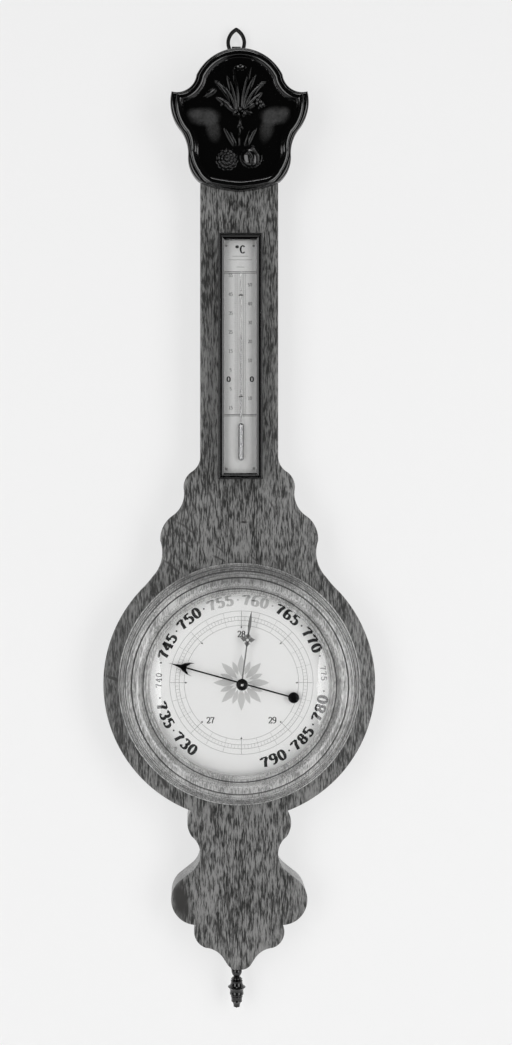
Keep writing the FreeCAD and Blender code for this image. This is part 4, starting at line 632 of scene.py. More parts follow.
# Pale grey ink for the numbers that a reflection on the glass washes out: painted reflection.
GLARE_PAINTED_INK = Polish("black printer's ink, faded by light", "dial_card", colour="#b4b4b3", shade="#c6c6c5",
                   grit=1.5, roughness=0.6)
BLACK_IRON = Polish("forged iron, blackened", "black_iron", colour="#2b2b2b", shade="#1b1b1b", grit=1.0,
                    metallic=0.8, roughness=0.45)
BLUED_STEEL = Polish("spring steel, blued nearly black", "blued_steel", colour="#1a1a1b", shade="#101011",
                     grit=1.5, metallic=0.9, roughness=0.3)
BRIGHT_STEEL = Polish("turned steel screws", "steel_screws", colour="#a9a9aa", shade="#909091", grit=0.8,
                      metallic=1.0, roughness=0.35)
SHEET_BRASS = Polish("sheet brass, lacquered", "brass", colour="#b4b4b3", shade="#9c9c9b", grit=1.2,
                     metallic=1.0, roughness=0.32)
HAND_BRASS = Polish("sawn brass hand, dull", "hand_brass", colour="#868685", shade="#626261", grit=1.0,
                    metallic=0.3, roughness=0.45)
CAP_BRASS = Polish("turned brass cap, polished", "hand_brass", colour="#d2d2d1", shade="#c2c2c1", grit=0.8,
                   metallic=1.0, roughness=0.12, roughness_sway=0.03)
DARK_KNOB = Polish("turned knob, bronzed black", "dark_knob", colour="#141414", shade="#0c0c0c", grit=0.8,
                   metallic=0.3, roughness=0.25)
QUICKSILVER = Polish("mercury", "mercury", colour="#c9c9ca", shade="#c4c4c5", grit=6.0, metallic=1.0,
                     roughness=0.05, roughness_sway=0.02)
SILK = Polish("twisted silk thread", "silk", colour="#d0d0cf", shade="#adadac", grit=0.4, roughness=0.8)
DOMED_GLASS = ClearGlass("domed glass, blown", "glass")
WEIGHT_GLASS = ClearGlass("glass of the float and its weight", "glass_weight", tint="#e4e6e6")

NODE_FINISHES: dict[str, Finish] = {
    "back_board": OILED_WALNUT, "back_cover": PLANED_PINE, "back_cover_screws": BRIGHT_STEEL,
    "pediment_screws": BRIGHT_STEEL, "hanger_plate": BLACK_IRON, "hanger_screws": BRIGHT_STEEL,
    "hanging_ring": BLACK_IRON, "bezel_dowels": TURNED_WALNUT, "dial_glass": DOMED_GLASS,
    "glass_retainer": TURNED_WALNUT, "dial_plate": DIAL_CARD, "dial_pins": SHEET_BRASS,
    "index_collet": SHEET_BRASS, "arbor": BRIGHT_STEEL, "pulley": SHEET_BRASS, "bearing_plate": SHEET_BRASS,
    "bearing_plate_screws": BRIGHT_STEEL, "bridge": SHEET_BRASS, "bridge_screws": BRIGHT_STEEL,
    "set_knob": DARK_KNOB, "knob_cap": CAP_BRASS, "set_washer": SHEET_BRASS, "barometer_tube": DOMED_GLASS,
    "mercury_column": QUICKSILVER, "cistern_mercury": QUICKSILVER, "float": WEIGHT_GLASS,
    "float_thread": SILK, "counterweight": WEIGHT_GLASS, "counterweight_thread": SILK,
    "tube_blocks": PLANED_PINE, "tube_straps": SHEET_BRASS, "strap_pins": SHEET_BRASS,
    "thermometer_glass": DOMED_GLASS, "thermometer_spacers": EBONISED_PEAR,
    "thermometer_scale": SCALE_CARD, "scale_pins": SHEET_BRASS, "thermometer_tube": DOMED_GLASS,
    "thermometer_mercury": QUICKSILVER, "tube_ties": BLACK_IRON,
}


class Mesh:
    """Points and faces collected in millimetres, then made into one piece."""

    def __init__(self) -> None:
        """Starts empty."""
        self.points: list[tuple[float, float, float]] = []
        self.faces: list[Sequence[int]] = []

    def add(self, points: Iterable[Sequence[float]], faces: Iterable[Sequence[int]]) -> None:
        """Adds points, and faces that number them from 0.

        Args:
            points: places in millimetres.
            faces: corners of each face, as numbers of points.
        """
        base = len(self.points)
        self.points += [tuple(float(c) for c in p) for p in points]
        self.faces += [[base + i for i in face] for face in faces]

    def skin(self, loops: Sequence[Sequence[Sequence[float]]]) -> None:
        """Adds a closed skin over loops of as many points each, with a cap on the first and the last.

        Args:
            loops: the loops, in order, each a list of (x, y, z) points.
        """
        count = len(loops[0])
        last = (len(loops) - 1) * count
        faces = [list(range(count)), [last + i for i in range(count)]]
        for start in range(0, last, count):
            for i in range(count):
                k = (i + 1) % count
                faces.append((start + i, start + k, start + count + k, start + count + i))
        self.add([point for loop in loops for point in loop], faces)

    def turn(self, profile: Sequence[Point], segments: int, axis: Axis, centre: Point) -> None:
        """Adds a closed turned form.

        Args:
            profile: (radius, along) points, closed from the last to the first.
            segments: facets round the axis.
            axis: OUT turns about Y through (x, z), UP about Z through (x, y).
            centre: where the axis stands.
        """
        points, faces = [], []
        count = len(profile)
        for i in range(segments):
            angle = 2 * math.pi * i / segments
            sine, cosine = math.sin(angle), math.cos(angle)
            for radius, along in profile:
                across = (centre[0] + radius * sine, centre[1] + radius * cosine)
                points.append((across[0], along, across[1]) if axis is Axis.OUT
                              else (across[0], across[1], along))
        for i in range(segments):
            for j in range(count):
                a, b = i * count + j, i * count + (j + 1) % count
                c, d = ((i + 1) % segments) * count + (j + 1) % count, ((i + 1) % segments) * count + j
                faces.append((a, b, c, d))
        self.add(points, faces)

    def piece(self, name: str, finish: Finish, body: Body, replaces: Sequence[str] = (),
              crease: float = 40.0, thickness: float = 0.0) -> bpy.types.Object:
        """Makes the piece, dresses it and hangs it on its body.

        Args:
            name: the piece's name.
            finish: what it is made of.
            body: what it moves with.
            replaces: nodes of the frame that it stands for.
            crease: edges sharper than this many degrees stay sharp.
            thickness: thickness given to a flat print.

        Returns:
            The finished object.
        """
        mesh = bpy.data.meshes.new(name)
        mesh.from_pydata([(x * MM, y * MM, z * MM) for x, y, z in self.points], [], self.faces)
        made = bpy.data.objects.new(name, mesh)
        bpy.context.scene.collection.objects.link(made)
        weld = made.modifiers.new("weld", "WELD")
        weld.merge_threshold = 1e-6
        if thickness:
            solid = made.modifiers.new("thickness", "SOLIDIFY")
            solid.thickness = thickness * MM
            solid.offset = 0.0
        bake_modifiers(made)
        made.data.shade_smooth()
        made.data.set_sharp_from_angle(angle=math.radians(crease))
        dress(made, finish)
        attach(made, body.value)
        if replaces:
            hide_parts(*replaces)
        LOG.info("%s: %d faces, rides on %s", name, len(made.data.polygons), body.value)
        return made


def bake_modifiers(piece: bpy.types.Object) -> None:
    """Applies a piece's modifiers to its mesh, with the normals turned outwards.

    Args:
        piece: the object, whose mesh is replaced.
    """
    graph = bpy.context.evaluated_depsgraph_get()
    graph.update()
    mesh = bpy.data.meshes.new_from_object(piece.evaluated_get(graph))
    piece.modifiers.clear()
    piece.data = mesh
    work = bmesh.new()
    work.from_mesh(mesh)
    bmesh.ops.recalc_face_normals(work, faces=work.faces)
    work.to_mesh(mesh)
    work.free()


def dress(piece: bpy.types.Object, finish: Finish) -> None:
    """Gives a piece its finish as its only material."""
    piece.data.materials.clear()
    piece.data.materials.append(finish.material())


@dataclass
class Case:
    """The shaped front board, with eased edges, that stands before the plain back board."""

    top_z: float = 626.9
    arch_radius: float = 41.0
    trunk_half: float = 39.0
    disc_radius: float = 136.05
    disc_start: float = 47.0
    tail_half: float = 48.5
    ease: float = 1.1
    ease_steps: int = 4
    shoulder: tuple[Step, ...] = (
        ((39.0, 227.4), 0.0), ((48.0, 212.0), -2.3), ((55.5, 194.0), 2.8), ((66.5, 168.5), -3.9),
        ((79.0, 143.0), 3.8), ((87.0, 107.0), -5.2))
    tail: tuple[Step, ...] = (
        ((47.5, -153.0), 3.9), ((48.5, -188.5), -9.0), ((56.5, -194.9), 0.0), ((43.7, -241.4), 17.8),
        ((33.5, -264.3), 5.6), ((16.0, -274.5), -2.3), ((11.5, -281.5), 0.0), ((0.0, -286.0), 1.8))

    def outline(self) -> list[Point]:
        """Outline of the whole case, clockwise from its top.

        Returns:
            The points of the closed outline.
        """
        arch_z = self.top_z - self.arch_radius
        arch_end = (self.trunk_half, arch_z + math.sqrt(self.arch_radius ** 2 - self.trunk_half ** 2))
        half_chord = math.hypot(arch_end[0], self.top_z - arch_end[1]) / 2
        arch_bulge = self.arch_radius - math.sqrt(self.arch_radius ** 2 - half_chord ** 2)
        start = math.radians(self.disc_start)
        end = math.pi - math.asin(self.tail_half / self.disc_radius)
        disc_start = (self.disc_radius * math.sin(start), self.disc_radius * math.cos(start))
        disc_end = (self.tail_half, self.disc_radius * math.cos(end))
        disc_bulge = self.disc_radius * (1 - math.cos((end - start) / 2))
        steps = [(arch_end, arch_bulge), *self.shoulder, (disc_start, -0.5), (disc_end, disc_bulge),
                 *self.tail]
        return mirrored_loop(path_points((0.0, self.top_z), steps))

    def build(self) -> None:
        """Builds the front board, its front edge eased in a few steps."""
        loop = self.outline()
        rings = [(0.0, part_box("front_board")[1].y / MM)]
        for i in range(self.ease_steps + 1):
            turn = math.pi / 2 * i / self.ease_steps
            rings.append((self.ease * (1 - math.cos(turn)), front(0) + self.ease * (1 - math.sin(turn))))
        mesh = Mesh()
        mesh.skin([[(x, y, z) for x, z in inset_loop(loop, inset)] for inset, y in rings])
        mesh.piece("front_board_eased", OILED_WALNUT, Body.CASE, ["front_board"], crease=50)


@dataclass(frozen=True)
class Frond:
    """Carved leaf that grows from its root, bends past its elbow and ends in its tip."""

    root: Point
    elbow: Point
    tip: Point
    half: float
    rise: float
    ribs: int = 1


@dataclass
class Crest:
    """Carved and ebonised pediment: band, bead, dished field, palmette, spray and fruits."""

    middle: Point = (0.0, 557.0)
    arch_z: float = 585.9
    arch_radius: float = 47.9
    arch_x: float = 43.0
    edge: tuple[Step, ...] = (
        ((67.7, 590.6), -6.8), ((59.5, 553.5), 4.5), ((51.2, 527.5), -2.3), ((40.6, 501.4), 3.4),
        ((24.0, 495.2), 0.5), ((0.0, 491.6), 0.3))
    bead_inset: float = 6.4
    bead_edge: tuple[Step, ...] = (
        ((60.0, 583.6), -5.5), ((50.0, 550.5), 4.0), ((45.6, 528.5), -1.8), ((39.2, 511.0), 1.2),
        ((27.0, 500.4), 1.8), ((0.0, 496.6), 0.5))
    band: float = 9.0
    bead_top: float = 14.0
    bead_half: float = 3.4
    bead_round: float = 4.3
    bead_flank: float = 0.7
    ease: float = 3.2
    quirk_depth: float = 0.9
    quirk_width: float = 0.6
    dish_rise: float = 0.8
    dish_width: float = 2.5
    field_floor: float = 6.0
    rings: int = 170

    def loop(self, radius: float, arch_x: float, edge: Sequence[Step]) -> np.ndarray:
        """Outline or bead line as an array of points, clockwise from the top.

        Args:
            radius: radius of the arch.
            arch_x: where the arch ends.
            edge: steps from there down to the foot.

        Returns:
            Evenly spaced points.
        """
        arch_end = (arch_x, self.arch_z + math.sqrt(radius ** 2 - arch_x ** 2))
        top = (0.0, self.arch_z + radius)
        half = math.hypot(arch_end[0], top[1] - arch_end[1]) / 2
        bulge = radius - math.sqrt(radius ** 2 - half ** 2)
        return self.even(np.array(mirrored_loop(path_points(top, [(arch_end, bulge), *edge], 0.7))), 0.55)

    @staticmethod
    def even(loop: np.ndarray, spacing: float) -> np.ndarray:
        """Closed loop with points added so that no two are further apart than the spacing.

        Args:
            loop: the closed loop.
            spacing: greatest distance between two points.

        Returns:
            The loop with its added points.
        """
        points = []
        for a, b in zip(loop, np.roll(loop, -1, axis=0)):
            count = max(1, math.ceil(float(np.hypot(*(b - a))) / spacing))
            points += [a + (b - a) * i / count for i in range(count)]
        return np.array(points)

    @staticmethod
    def distance(points: np.ndarray, line: np.ndarray) -> tuple[np.ndarray, np.ndarray]:
        """Distance from points to a line of short straights.

        Args:
            points: N places.
            line: the line's points, in order.

        Returns:
            The distance of each place, and how far along the line its nearest point lies, 0 to 1.
        """
        best = np.full(len(points), 1e9)
        share = np.zeros(len(points))
        for i in range(len(line) - 1):
            run = line[i + 1] - line[i]
            length = max(float(run @ run), 1e-12)
            t = np.clip(((points - line[i]) @ run) / length, 0, 1)
            away = np.hypot(*(points - line[i] - t[:, None] * run).T)
            nearer = away < best
            best[nearer] = away[nearer]
            share[nearer] = (i + t[nearer]) / (len(line) - 1)
        return best, share

    @staticmethod
    def loop_distance(points: np.ndarray, loop: np.ndarray) -> np.ndarray:
        """Distance from points to a closed loop, by its nearest point and the straights on both sides.

        Args:
            points: N places.
            loop: the closed loop.

        Returns:
            The distance of each place.
        """
        tree = KDTree(len(loop))
        for i, (x, z) in enumerate(loop):
            tree.insert((x, z, 0.0), i)
        tree.balance()
        nearest = np.array([tree.find((x, z, 0.0))[1] for x, z in points])
        best = np.full(len(points), 1e9)
        for first in (nearest - 1, nearest):
            a, b = loop[first % len(loop)], loop[(first + 1) % len(loop)]
            run = b - a
            t = np.clip(((points - a) * run).sum(axis=1) / np.maximum((run * run).sum(axis=1), 1e-12), 0, 1)
            best = np.minimum(best, np.hypot(*(points - a - t[:, None] * run).T))
        return best

    def grown(self, places: np.ndarray, height: np.ndarray, frond: Frond) -> np.ndarray:
        """Height after one carved leaf is laid on it.

        Args:
            places: N places on the crest.
            height: height proud of the board at each place.
            frond: the leaf.

        Returns:
            The height at each place with it carved on.
        """
        steps = np.linspace(0, 1, 15)[:, None]
        root, elbow, tip = (np.array(p) for p in (frond.root, frond.elbow, frond.tip))
        line = (1 - steps) ** 2 * root + 2 * steps * (1 - steps) * elbow + steps ** 2 * tip
        near = np.hypot(*(places - line.mean(axis=0)).T) < np.hypot(*(tip - root)) + frond.half * 2
        away, share = self.distance(places[near], line)
        half = frond.half * (0.42 + 0.58 * np.sin(np.pi * share ** 0.75)) * np.sqrt(
            np.clip((1 - share) * 6, 0, 1))
        across = away / np.maximum(half, 0.05)
        ridge = np.sqrt(np.clip(1 - across ** 2, 0, 1))
        vein = 0.7 * frond.ribs * half / 2.8 * np.exp(-(across / 0.2) ** 2)
        lift = ridge * (frond.rise * (0.55 + 0.35 * np.sin(np.pi * (share * 0.8 + 0.15))) - vein)
        grown = height.copy()
        grown[near] = np.maximum(height[near], np.where(across < 1, self.field_floor + lift, 0))
        return grown

    def carving(self, places: np.ndarray, height: np.ndarray) -> np.ndarray:
        """Height with the palmette, the spray, the berries and the two fruits.

        Args:
            places: N places on the crest.
            height: height proud of the board at each place.

        Returns:
            The height at each place wall of ith all of it carved on.
        """
        for frond in self.leaves():
            height = self.grown(places, height, frond)
        for x, z, radius, rise in self.balls():
            away = np.hypot(places[:, 0] - x, places[:, 1] - z) / radius
            round_top = min(rise, radius) * np.sqrt(np.clip(1 - away ** 2, 0, 1))
            ball = self.field_floor + max(rise - radius, 0) + round_top
            height = np.where(away < 1, np.maximum(height, ball), height)
        height = self.boss(places, height, self.field_floor)
        height = self.scaly_fruit(places, height)
        return self.smooth_fruit(places, height)

    @staticmethod
    def leaves() -> tuple[Frond, ...]:
        """Leaves of the palmette, its stem and the spray below it, the outer ones first."""
        return (
            Frond((-24.0, 591.5), (-29.0, 590.0), (-35.4, 583.6), 2.8, 6.0, 0),
            Frond((-4.0, 573.0), (-13.0, 594.0), (-25.0, 601.0), 2.6, 2.6),
            Frond((4.0, 573.0), (15.0, 596.0), (26.0, 600.0), 2.6, 2.6),
            Frond((-5.0, 571.0), (-14.0, 580.5), (-23.4, 584.0), 2.6, 6.4, 0),
            Frond((-4.0, 571.0), (-8.0, 586.0), (-16.2, 594.8), 2.6, 7.0),
            Frond((-3.0, 571.0), (-5.6, 592.0), (-12.8, 605.0), 2.8, 7.6),
            Frond((5.0, 572.0), (10.0, 588.0), (22.0, 596.8), 2.8, 7.6),
            Frond((3.6, 572.0), (6.4, 593.0), (16.4, 606.2), 2.6, 7.2),
            Frond((-1.6, 571.0), (-0.6, 592.0), (-6.6, 612.0), 2.9, 8.2),
            Frond((2.0, 571.0), (2.4, 593.0), (11.8, 613.4), 2.9, 8.4),
            Frond((6.0, 573.0), (13.0, 581.0), (22.6, 588.4), 2.8, 8.2),
            Frond((5.0, 571.5), (12.0, 576.4), (17.0, 578.0), 2.2, 7.6, 0),
            Frond((1.0, 569.5), (8.0, 570.5), (13.6, 567.2), 1.9, 6.0, 0),
            Frond((-1.0, 569.5), (-8.0, 572.0), (-13.0, 576.0), 1.9, 5.6, 0),
            Frond((0.4, 567.0), (0.2, 560.0), (0.4, 548.0), 1.5, 2.2, 0),
            Frond((-6.0, 537.0), (-8.8, 545.0), (-15.6, 553.2), 2.2, 6.4, 0),
            Frond((-3.6, 537.0), (-5.6, 544.0), (-10.6, 550.6), 1.9, 6.0, 0),
            Frond((-0.6, 537.0), (-0.6, 543.0), (-0.6, 549.0), 1.8, 6.0, 0),
            Frond((8.8, 538.0), (10.0, 546.0), (17.0, 553.0), 2.3, 7.0, 0),
            Frond((5.6, 537.0), (6.4, 545.0), (11.0, 551.4), 1.9, 6.2, 0),
        )

    @staticmethod
    def balls() -> tuple[tuple[float, float, float, float], ...]:
        """Berries, beads and the knot: x, z, radius and rise."""
        return (
            (17.6, 580.6, 2.2, 8.0), (20.6, 578.4, 2.3, 8.4), (17.0, 577.0, 2.0, 7.6),
            (23.2, 576.0, 1.9, 7.0), (20.4, 574.6, 1.8, 7.0), (-14.6, 579.4, 2.0, 6.2),
            (-11.6, 577.4, 2.0, 6.0), (-17.4, 577.0, 1.6, 5.0), (-4.6, 568.6, 2.1, 7.0),
            (4.8, 567.6, 2.3, 7.2), (0.4, 571.6, 2.2, 7.4), (-1.0, 566.6, 1.5, 5.8),
            (-0.8, 555.6, 1.4, 5.0), (2.0, 553.8, 1.4, 5.0), (5.4, 600.4, 1.1, 4.0),
        )

    @staticmethod
    def boss(places: np.ndarray, height: np.ndarray, floor: float) -> np.ndarray:
        """Height with the oval boss under the arch.

        Args:
            places: N places on the crest.
            height: height proud of the board at each place.
            floor: height of the field.

        Returns:
            The height at each place with it carved on.
        """
        away = np.hypot((places[:, 0] - 0.6) / 5.8, (places[:, 1] - 614.8) / 3.1)
        dome = floor + 4.4 * np.sqrt(np.clip(1 - away ** 2, 0, 1))
        return np.where(away < 1, np.maximum(height, dome), height)

    def scaly_fruit(self, places: np.ndarray, height: np.ndarray) -> np.ndarray:
        """Left fruit: a low dome of overlapping pointed scales.

        Args:
            places: N places on the crest.
            height: height proud of the board at each place.

        Returns:
            The height at each place with it carved on.
        """
        dx, dz = places[:, 0] + 12.4, places[:, 1] - 522.6
        away = np.hypot(dx, dz)
        angle = np.arctan2(dz, dx)
        petals = np.abs(np.cos(5.5 * angle + 0.35 * away)) ** 0.8
        rows = 0.5 + 0.5 * np.cos(away * 2.1)
        edge = 9.4 + 1.4 * petals
        dome = self.field_floor + 6.6 * np.clip(1 - away / edge, 0, 1) ** 0.8 + 1.5 * petals * rows
        return np.where(away < edge, np.maximum(height, dome), height)

    def smooth_fruit(self, places: np.ndarray, height: np.ndarray) -> np.ndarray:
        """Right fruit: a smooth ball with two curved grooves.

        Args:
            places: N places on the crest.
            height: height proud of the board at each place.

        Returns:
            The height at each place with it carved on.
        """
        dx, dz = places[:, 0] - 11.4, places[:, 1] - 525.4
        away = np.hypot(dx, dz) / 11.0
        ball = self.field_floor + 7.0 * np.sqrt(np.clip(1 - away ** 2, 0, 1))
        slant = dx * 0.86 + dz * 0.5
        along = -dx * 0.5 + dz * 0.86
        for middle in (-1.2, 5.0):
            groove = slant - middle + along ** 2 * 0.035
            ball -= 1.5 * np.exp(-(groove / 0.9) ** 2)
        return np.where(away < 1, np.maximum(height, ball), height)

    def build(self) -> None:
        """Builds the crest as rings of points from its middle out to its edge."""
        edge = self.loop(self.arch_radius, self.arch_x, self.edge)
        bead = self.loop(self.arch_radius - self.bead_inset, self.arch_x - self.bead_inset + 1,
                         self.bead_edge)
        middle = np.array(self.middle)
        shares = np.concatenate([np.linspace(0, 1, self.rings)[1:-1], [0.992, 0.997, 1.0]])
        places = (middle + shares[:, None, None] * (edge - middle)).reshape(-1, 2)
        rim = self.loop_distance(places, edge)
        off = self.loop_distance(places, bead)
        outside = self.beyond(places, bead)
        height = self.rim_height(rim, off, outside)
        inner = ~outside & (off > self.bead_half)
        height[inner] = self.carving(places[inner], height[inner])
        self.emboss(edge, places, height, shares)

    def beyond(self, places: np.ndarray, bead: np.ndarray) -> np.ndarray:
        """True where a place lies outside the bead's line.

        Args:
            places: N places on the crest.
            bead: points of the bead's line.

        Returns:
            One truth value for each place.
        """
        def polar(points: np.ndarray) -> tuple[np.ndarray, np.ndarray]:
            """Direction and distance of points from the crest's middle."""
            offset = points - np.array(self.middle)
            return np.arctan2(offset[:, 0], offset[:, 1]), np.hypot(*offset.T)
        angle, reach = polar(bead)
        order = np.argsort(angle)
        at, out = polar(places)
        return out > np.interp(at, angle[order], reach[order], period=2 * math.pi)

    def rim_height(self, rim: np.ndarray, off: np.ndarray, outside: np.ndarray) -> np.ndarray:
        """Height of band, bead and dished field.

        Args:
            rim: distance from the outer edge.
            off: distance from the bead's line.
            outside: whether a place lies outside that line.

        Returns:
            Height proud of the board at each place.
        """
        into_edge = np.clip(self.ease - rim, 0, self.ease)
        eased = self.ease - np.sqrt(np.clip(self.ease ** 2 - into_edge ** 2, 0, None))
        quirk = self.quirk_depth * np.exp(-((off - self.bead_half) / self.quirk_width) ** 2)
        into_field = np.clip(off - self.bead_half, 0, None)
        dish = self.field_floor + self.dish_rise * np.exp(-into_field / self.dish_width)
        bead_arc = np.sqrt(np.clip(self.bead_round ** 2 - off ** 2, 0, None))
        round_bead = self.bead_top - self.bead_round + bead_arc
        low = np.where(outside, self.band - eased - quirk, dish)
        share = np.clip((self.bead_half - off) / self.bead_flank, 0, 1)
        return low + (np.maximum(round_bead, low) - low) * np.sqrt(share)

    def emboss(self, edge: np.ndarray, places: np.ndarray, height: np.ndarray, shares: np.ndarray) -> None:
        """Makes the closed mesh from the height at each place.

        Args:
            edge: points of the outer edge.
            places: the rings' points, ring after ring.
            height: height proud of the board at each place.
            shares: how far out each ring lies, 0 to 1.
        """
        count = len(edge)
        mesh = Mesh()
        points = [(x, front(p), z) for (x, z), p in zip(places, height)]
        centre_height = float(height[:count].mean())
        points.append((self.middle[0], front(centre_height), self.middle[1]))
        points += [(x, front(0), z) for x, z in edge]
        faces = []
        hub = len(places)
        for i in range(count):
            k = (i + 1) % count
            faces.append((hub, i, k))
            for j in range(len(shares) - 1):
                faces.append((j * count + i, j * count + k, (j + 1) * count + k, (j + 1) * count + i))
            last = (len(shares) - 1) * count
            faces.append((last + i, last + k, hub + 1 + k, hub + 1 + i))
        faces.append([hub + 1 + i for i in range(count)])
        mesh.add(points, faces)
        mesh.piece("carved_crest", CARVED_PEAR, Body.CASE, ["pediment"], crease=60)


@dataclass
class Drop:
    """Turned black finial under the tail."""

    x: float = -2.0
    y: float = -17.0
    dowel_top: float = -272.0
    top: float = -286.0

    def build(self) -> None:
        """Turns collar, neck, ball with its grooves, waist and toe."""
        down = [
            ((3.0, 0.0), 0.0), ((5.9, 0.0), 0.0), ((5.9, 4.6), 0.0), ((5.2, 5.4), 0.5), ((3.2, 11.6), -0.8),
            ((3.0, 12.6), 0.0), ((4.6, 13.4), 0.0), ((5.6, 14.6), 0.4), ((4.9, 15.6), 0.0),
            ((6.0, 16.4), 0.0), ((8.9, 22.7), 1.3), ((6.9, 28.6), 1.0), ((6.2, 28.9), 0.0),
            ((6.9, 29.9), 0.4), ((6.0, 30.9), 0.3), ((5.4, 31.2), 0.0), ((6.0, 32.2), 0.4),
            ((5.4, 37.2), 0.3), ((3.2, 42.6), 0.7), ((0.0, 44.6), 0.6)]
        profile = path_points((3.0, -14.0), down, 0.5)
        outline = [(0.0, self.dowel_top)] + [(radius, self.top - drop) for radius, drop in profile]
        mesh = Mesh()
        mesh.turn(outline, 72, Axis.UP, (self.x, self.y))
        mesh.piece("turned_drop", EBONISED_PEAR, Body.CASE, ["finial"], crease=35)


@dataclass
class Bezel:
    """Turned wooden ring round the dial."""

    radius: float = 121.0
    aperture: float = 90.0
    recess: float = 97.9
    glass_seat: float = 94.2

    def build(self) -> None:
        """Turns the ring from its outer bead in to its lip."""
        face = [
            ((self.radius, 2.4), 0.0), ((119.6, 4.2), 0.7), ((117.9, 3.5), 0.5), ((117.5, 6.3), 0.0),
            ((116.1, 9.5), 0.9), ((114.2, 8.9), 0.6), ((113.6, 8.2), 0.0), ((113.1, 14.4), -0.5),
            ((110.7, 18.9), 1.5), ((108.2, 17.7), 0.8), ((107.2, 16.9), 0.0), ((106.6, 18.7), 0.0),
            ((105.8, 18.6), 0.2), ((97.2, 13.0), -2.0), ((96.3, 12.9), 0.0), ((95.9, 12.1), 0.0),
            ((95.1, 12.9), 0.0), ((93.0, 14.6), 0.7), ((91.0, 13.6), 0.6),
            ((self.aperture, 12.2), 0.3), ((self.aperture, 9.5), 0.0), ((self.glass_seat, 9.5), 0.0),
            ((self.glass_seat, 3.0), 0.0), ((self.recess, 3.0), 0.0), ((self.recess, 0.0), 0.0)]
        profile = [(radius, front(proud)) for radius, proud in path_points((self.radius, 0.0), face, 0.4)]
        mesh = Mesh()
        mesh.turn(profile, 288, Axis.OUT, (0.0, 0.0))
        mesh.piece("turned_bezel", TURNED_WALNUT, Body.CASE, ["bezel"], crease=35)


@dataclass
class InkSheet:
    """Printed marks on a flat card, drawn in X and Z and kept a hair above the card."""

    y: float
    mesh: Mesh = field(default_factory=Mesh)

    def ribbon(self, points: Sequence[Point], widths: Sequence[float]) -> None:
        """Stroke of changing width along a line.

        Args:
            points: the line's points.
            widths: width of the stroke at each point.
        """
        line = np.array(points)
        run = np.gradient(line, axis=0)
        run /= np.maximum(np.linalg.norm(run, axis=1, keepdims=True), 1e-9)
        side = np.stack([-run[:, 1], run[:, 0]], axis=1) * (np.array(widths)[:, None] / 2)
        left, right = line + side, line - side
        marks = [(x, self.y, z) for x, z in left] + [(x, self.y, z) for x, z in right]
        count = len(points)
        self.mesh.add(marks, [(i, i + 1, count + i + 1, count + i) for i in range(count - 1)])

    def line(self, a: Point, b: Point, width: float) -> None:
        """Straight rule."""
        self.ribbon([a, b], [width, width])

    def ring(self, centre: Point, radius: float, width: float, segments: int = 180) -> None:
        """Printed circle."""
        angles = np.linspace(0, 2 * math.pi, segments + 1)
        self.ribbon([(centre[0] + radius * math.sin(a), centre[1] + radius * math.cos(a)) for a in angles],
                    [width] * (segments + 1))

    def patch(self, points: Sequence[Point]) -> None:
        """Filled shape."""
        self.mesh.add([(x, self.y, z) for x, z in points], [list(range(len(points)))])

    def dot(self, centre: Point, radius: float) -> None:
        """Round dot."""
        self.patch([(centre[0] + radius * math.sin(a), centre[1] + radius * math.cos(a))
                    for a in np.linspace(0, 2 * math.pi, 13)[:-1]])

    def digit(self, figure: str, centre: Point, height: float, angle: float, bold: float) -> None:
        """Numeral with thick stems and thin turns.

        Args:
            figure: one of the keys of DIGITS.
            centre: its middle.
            height: its height.
            angle: clockwise turn in degrees.
            bold: width of the thick strokes as a share of the height.
        """
        sine, cosine = math.sin(math.radians(angle)), math.cos(math.radians(angle))
        for stroke in DIGITS[figure]:
            marks, widths = [], []
            run = np.gradient(np.array(stroke), axis=0)
            for (u, v), (du, dv) in zip(stroke, run):
                x, z = (u - 0.5) * height * (0.92 + bold * 0.8), (v - 0.5) * height
                marks.append((centre[0] + x * cosine + z * sine, centre[1] - x * sine + z * cosine))
                upright = abs(dv) / max(math.hypot(du, dv), 1e-9)
                widths.append(height * (0.07 + bold * 0.22 + (bold * 0.78 - 0.07) * upright ** 1.5))
            self.ribbon(marks, widths)

    def number(self, text: str, centre: Point, height: float, bold: float) -> None:
        """Level number round its middle."""
        pitch = height * (0.56 + bold * 0.55)
        for i, figure in enumerate(text):
            shift = (i - (len(text) - 1) / 2) * pitch
            self.digit(figure, (centre[0] + shift, centre[1]), height, 0.0, bold)


def oval(cx: float, cy: float, rx: float, ry: float, start: float = 0.0, end: float = 360.0) -> list[Point]:
    """Points of an oval stroke, its angles counted anticlockwise from the right."""
    count = max(6, int(abs(end - start) / 18))
    return [(cx + rx * math.cos(math.radians(start + (end - start) * i / count)),
             cy + ry * math.sin(math.radians(start + (end - start) * i / count))) for i in range(count + 1)]


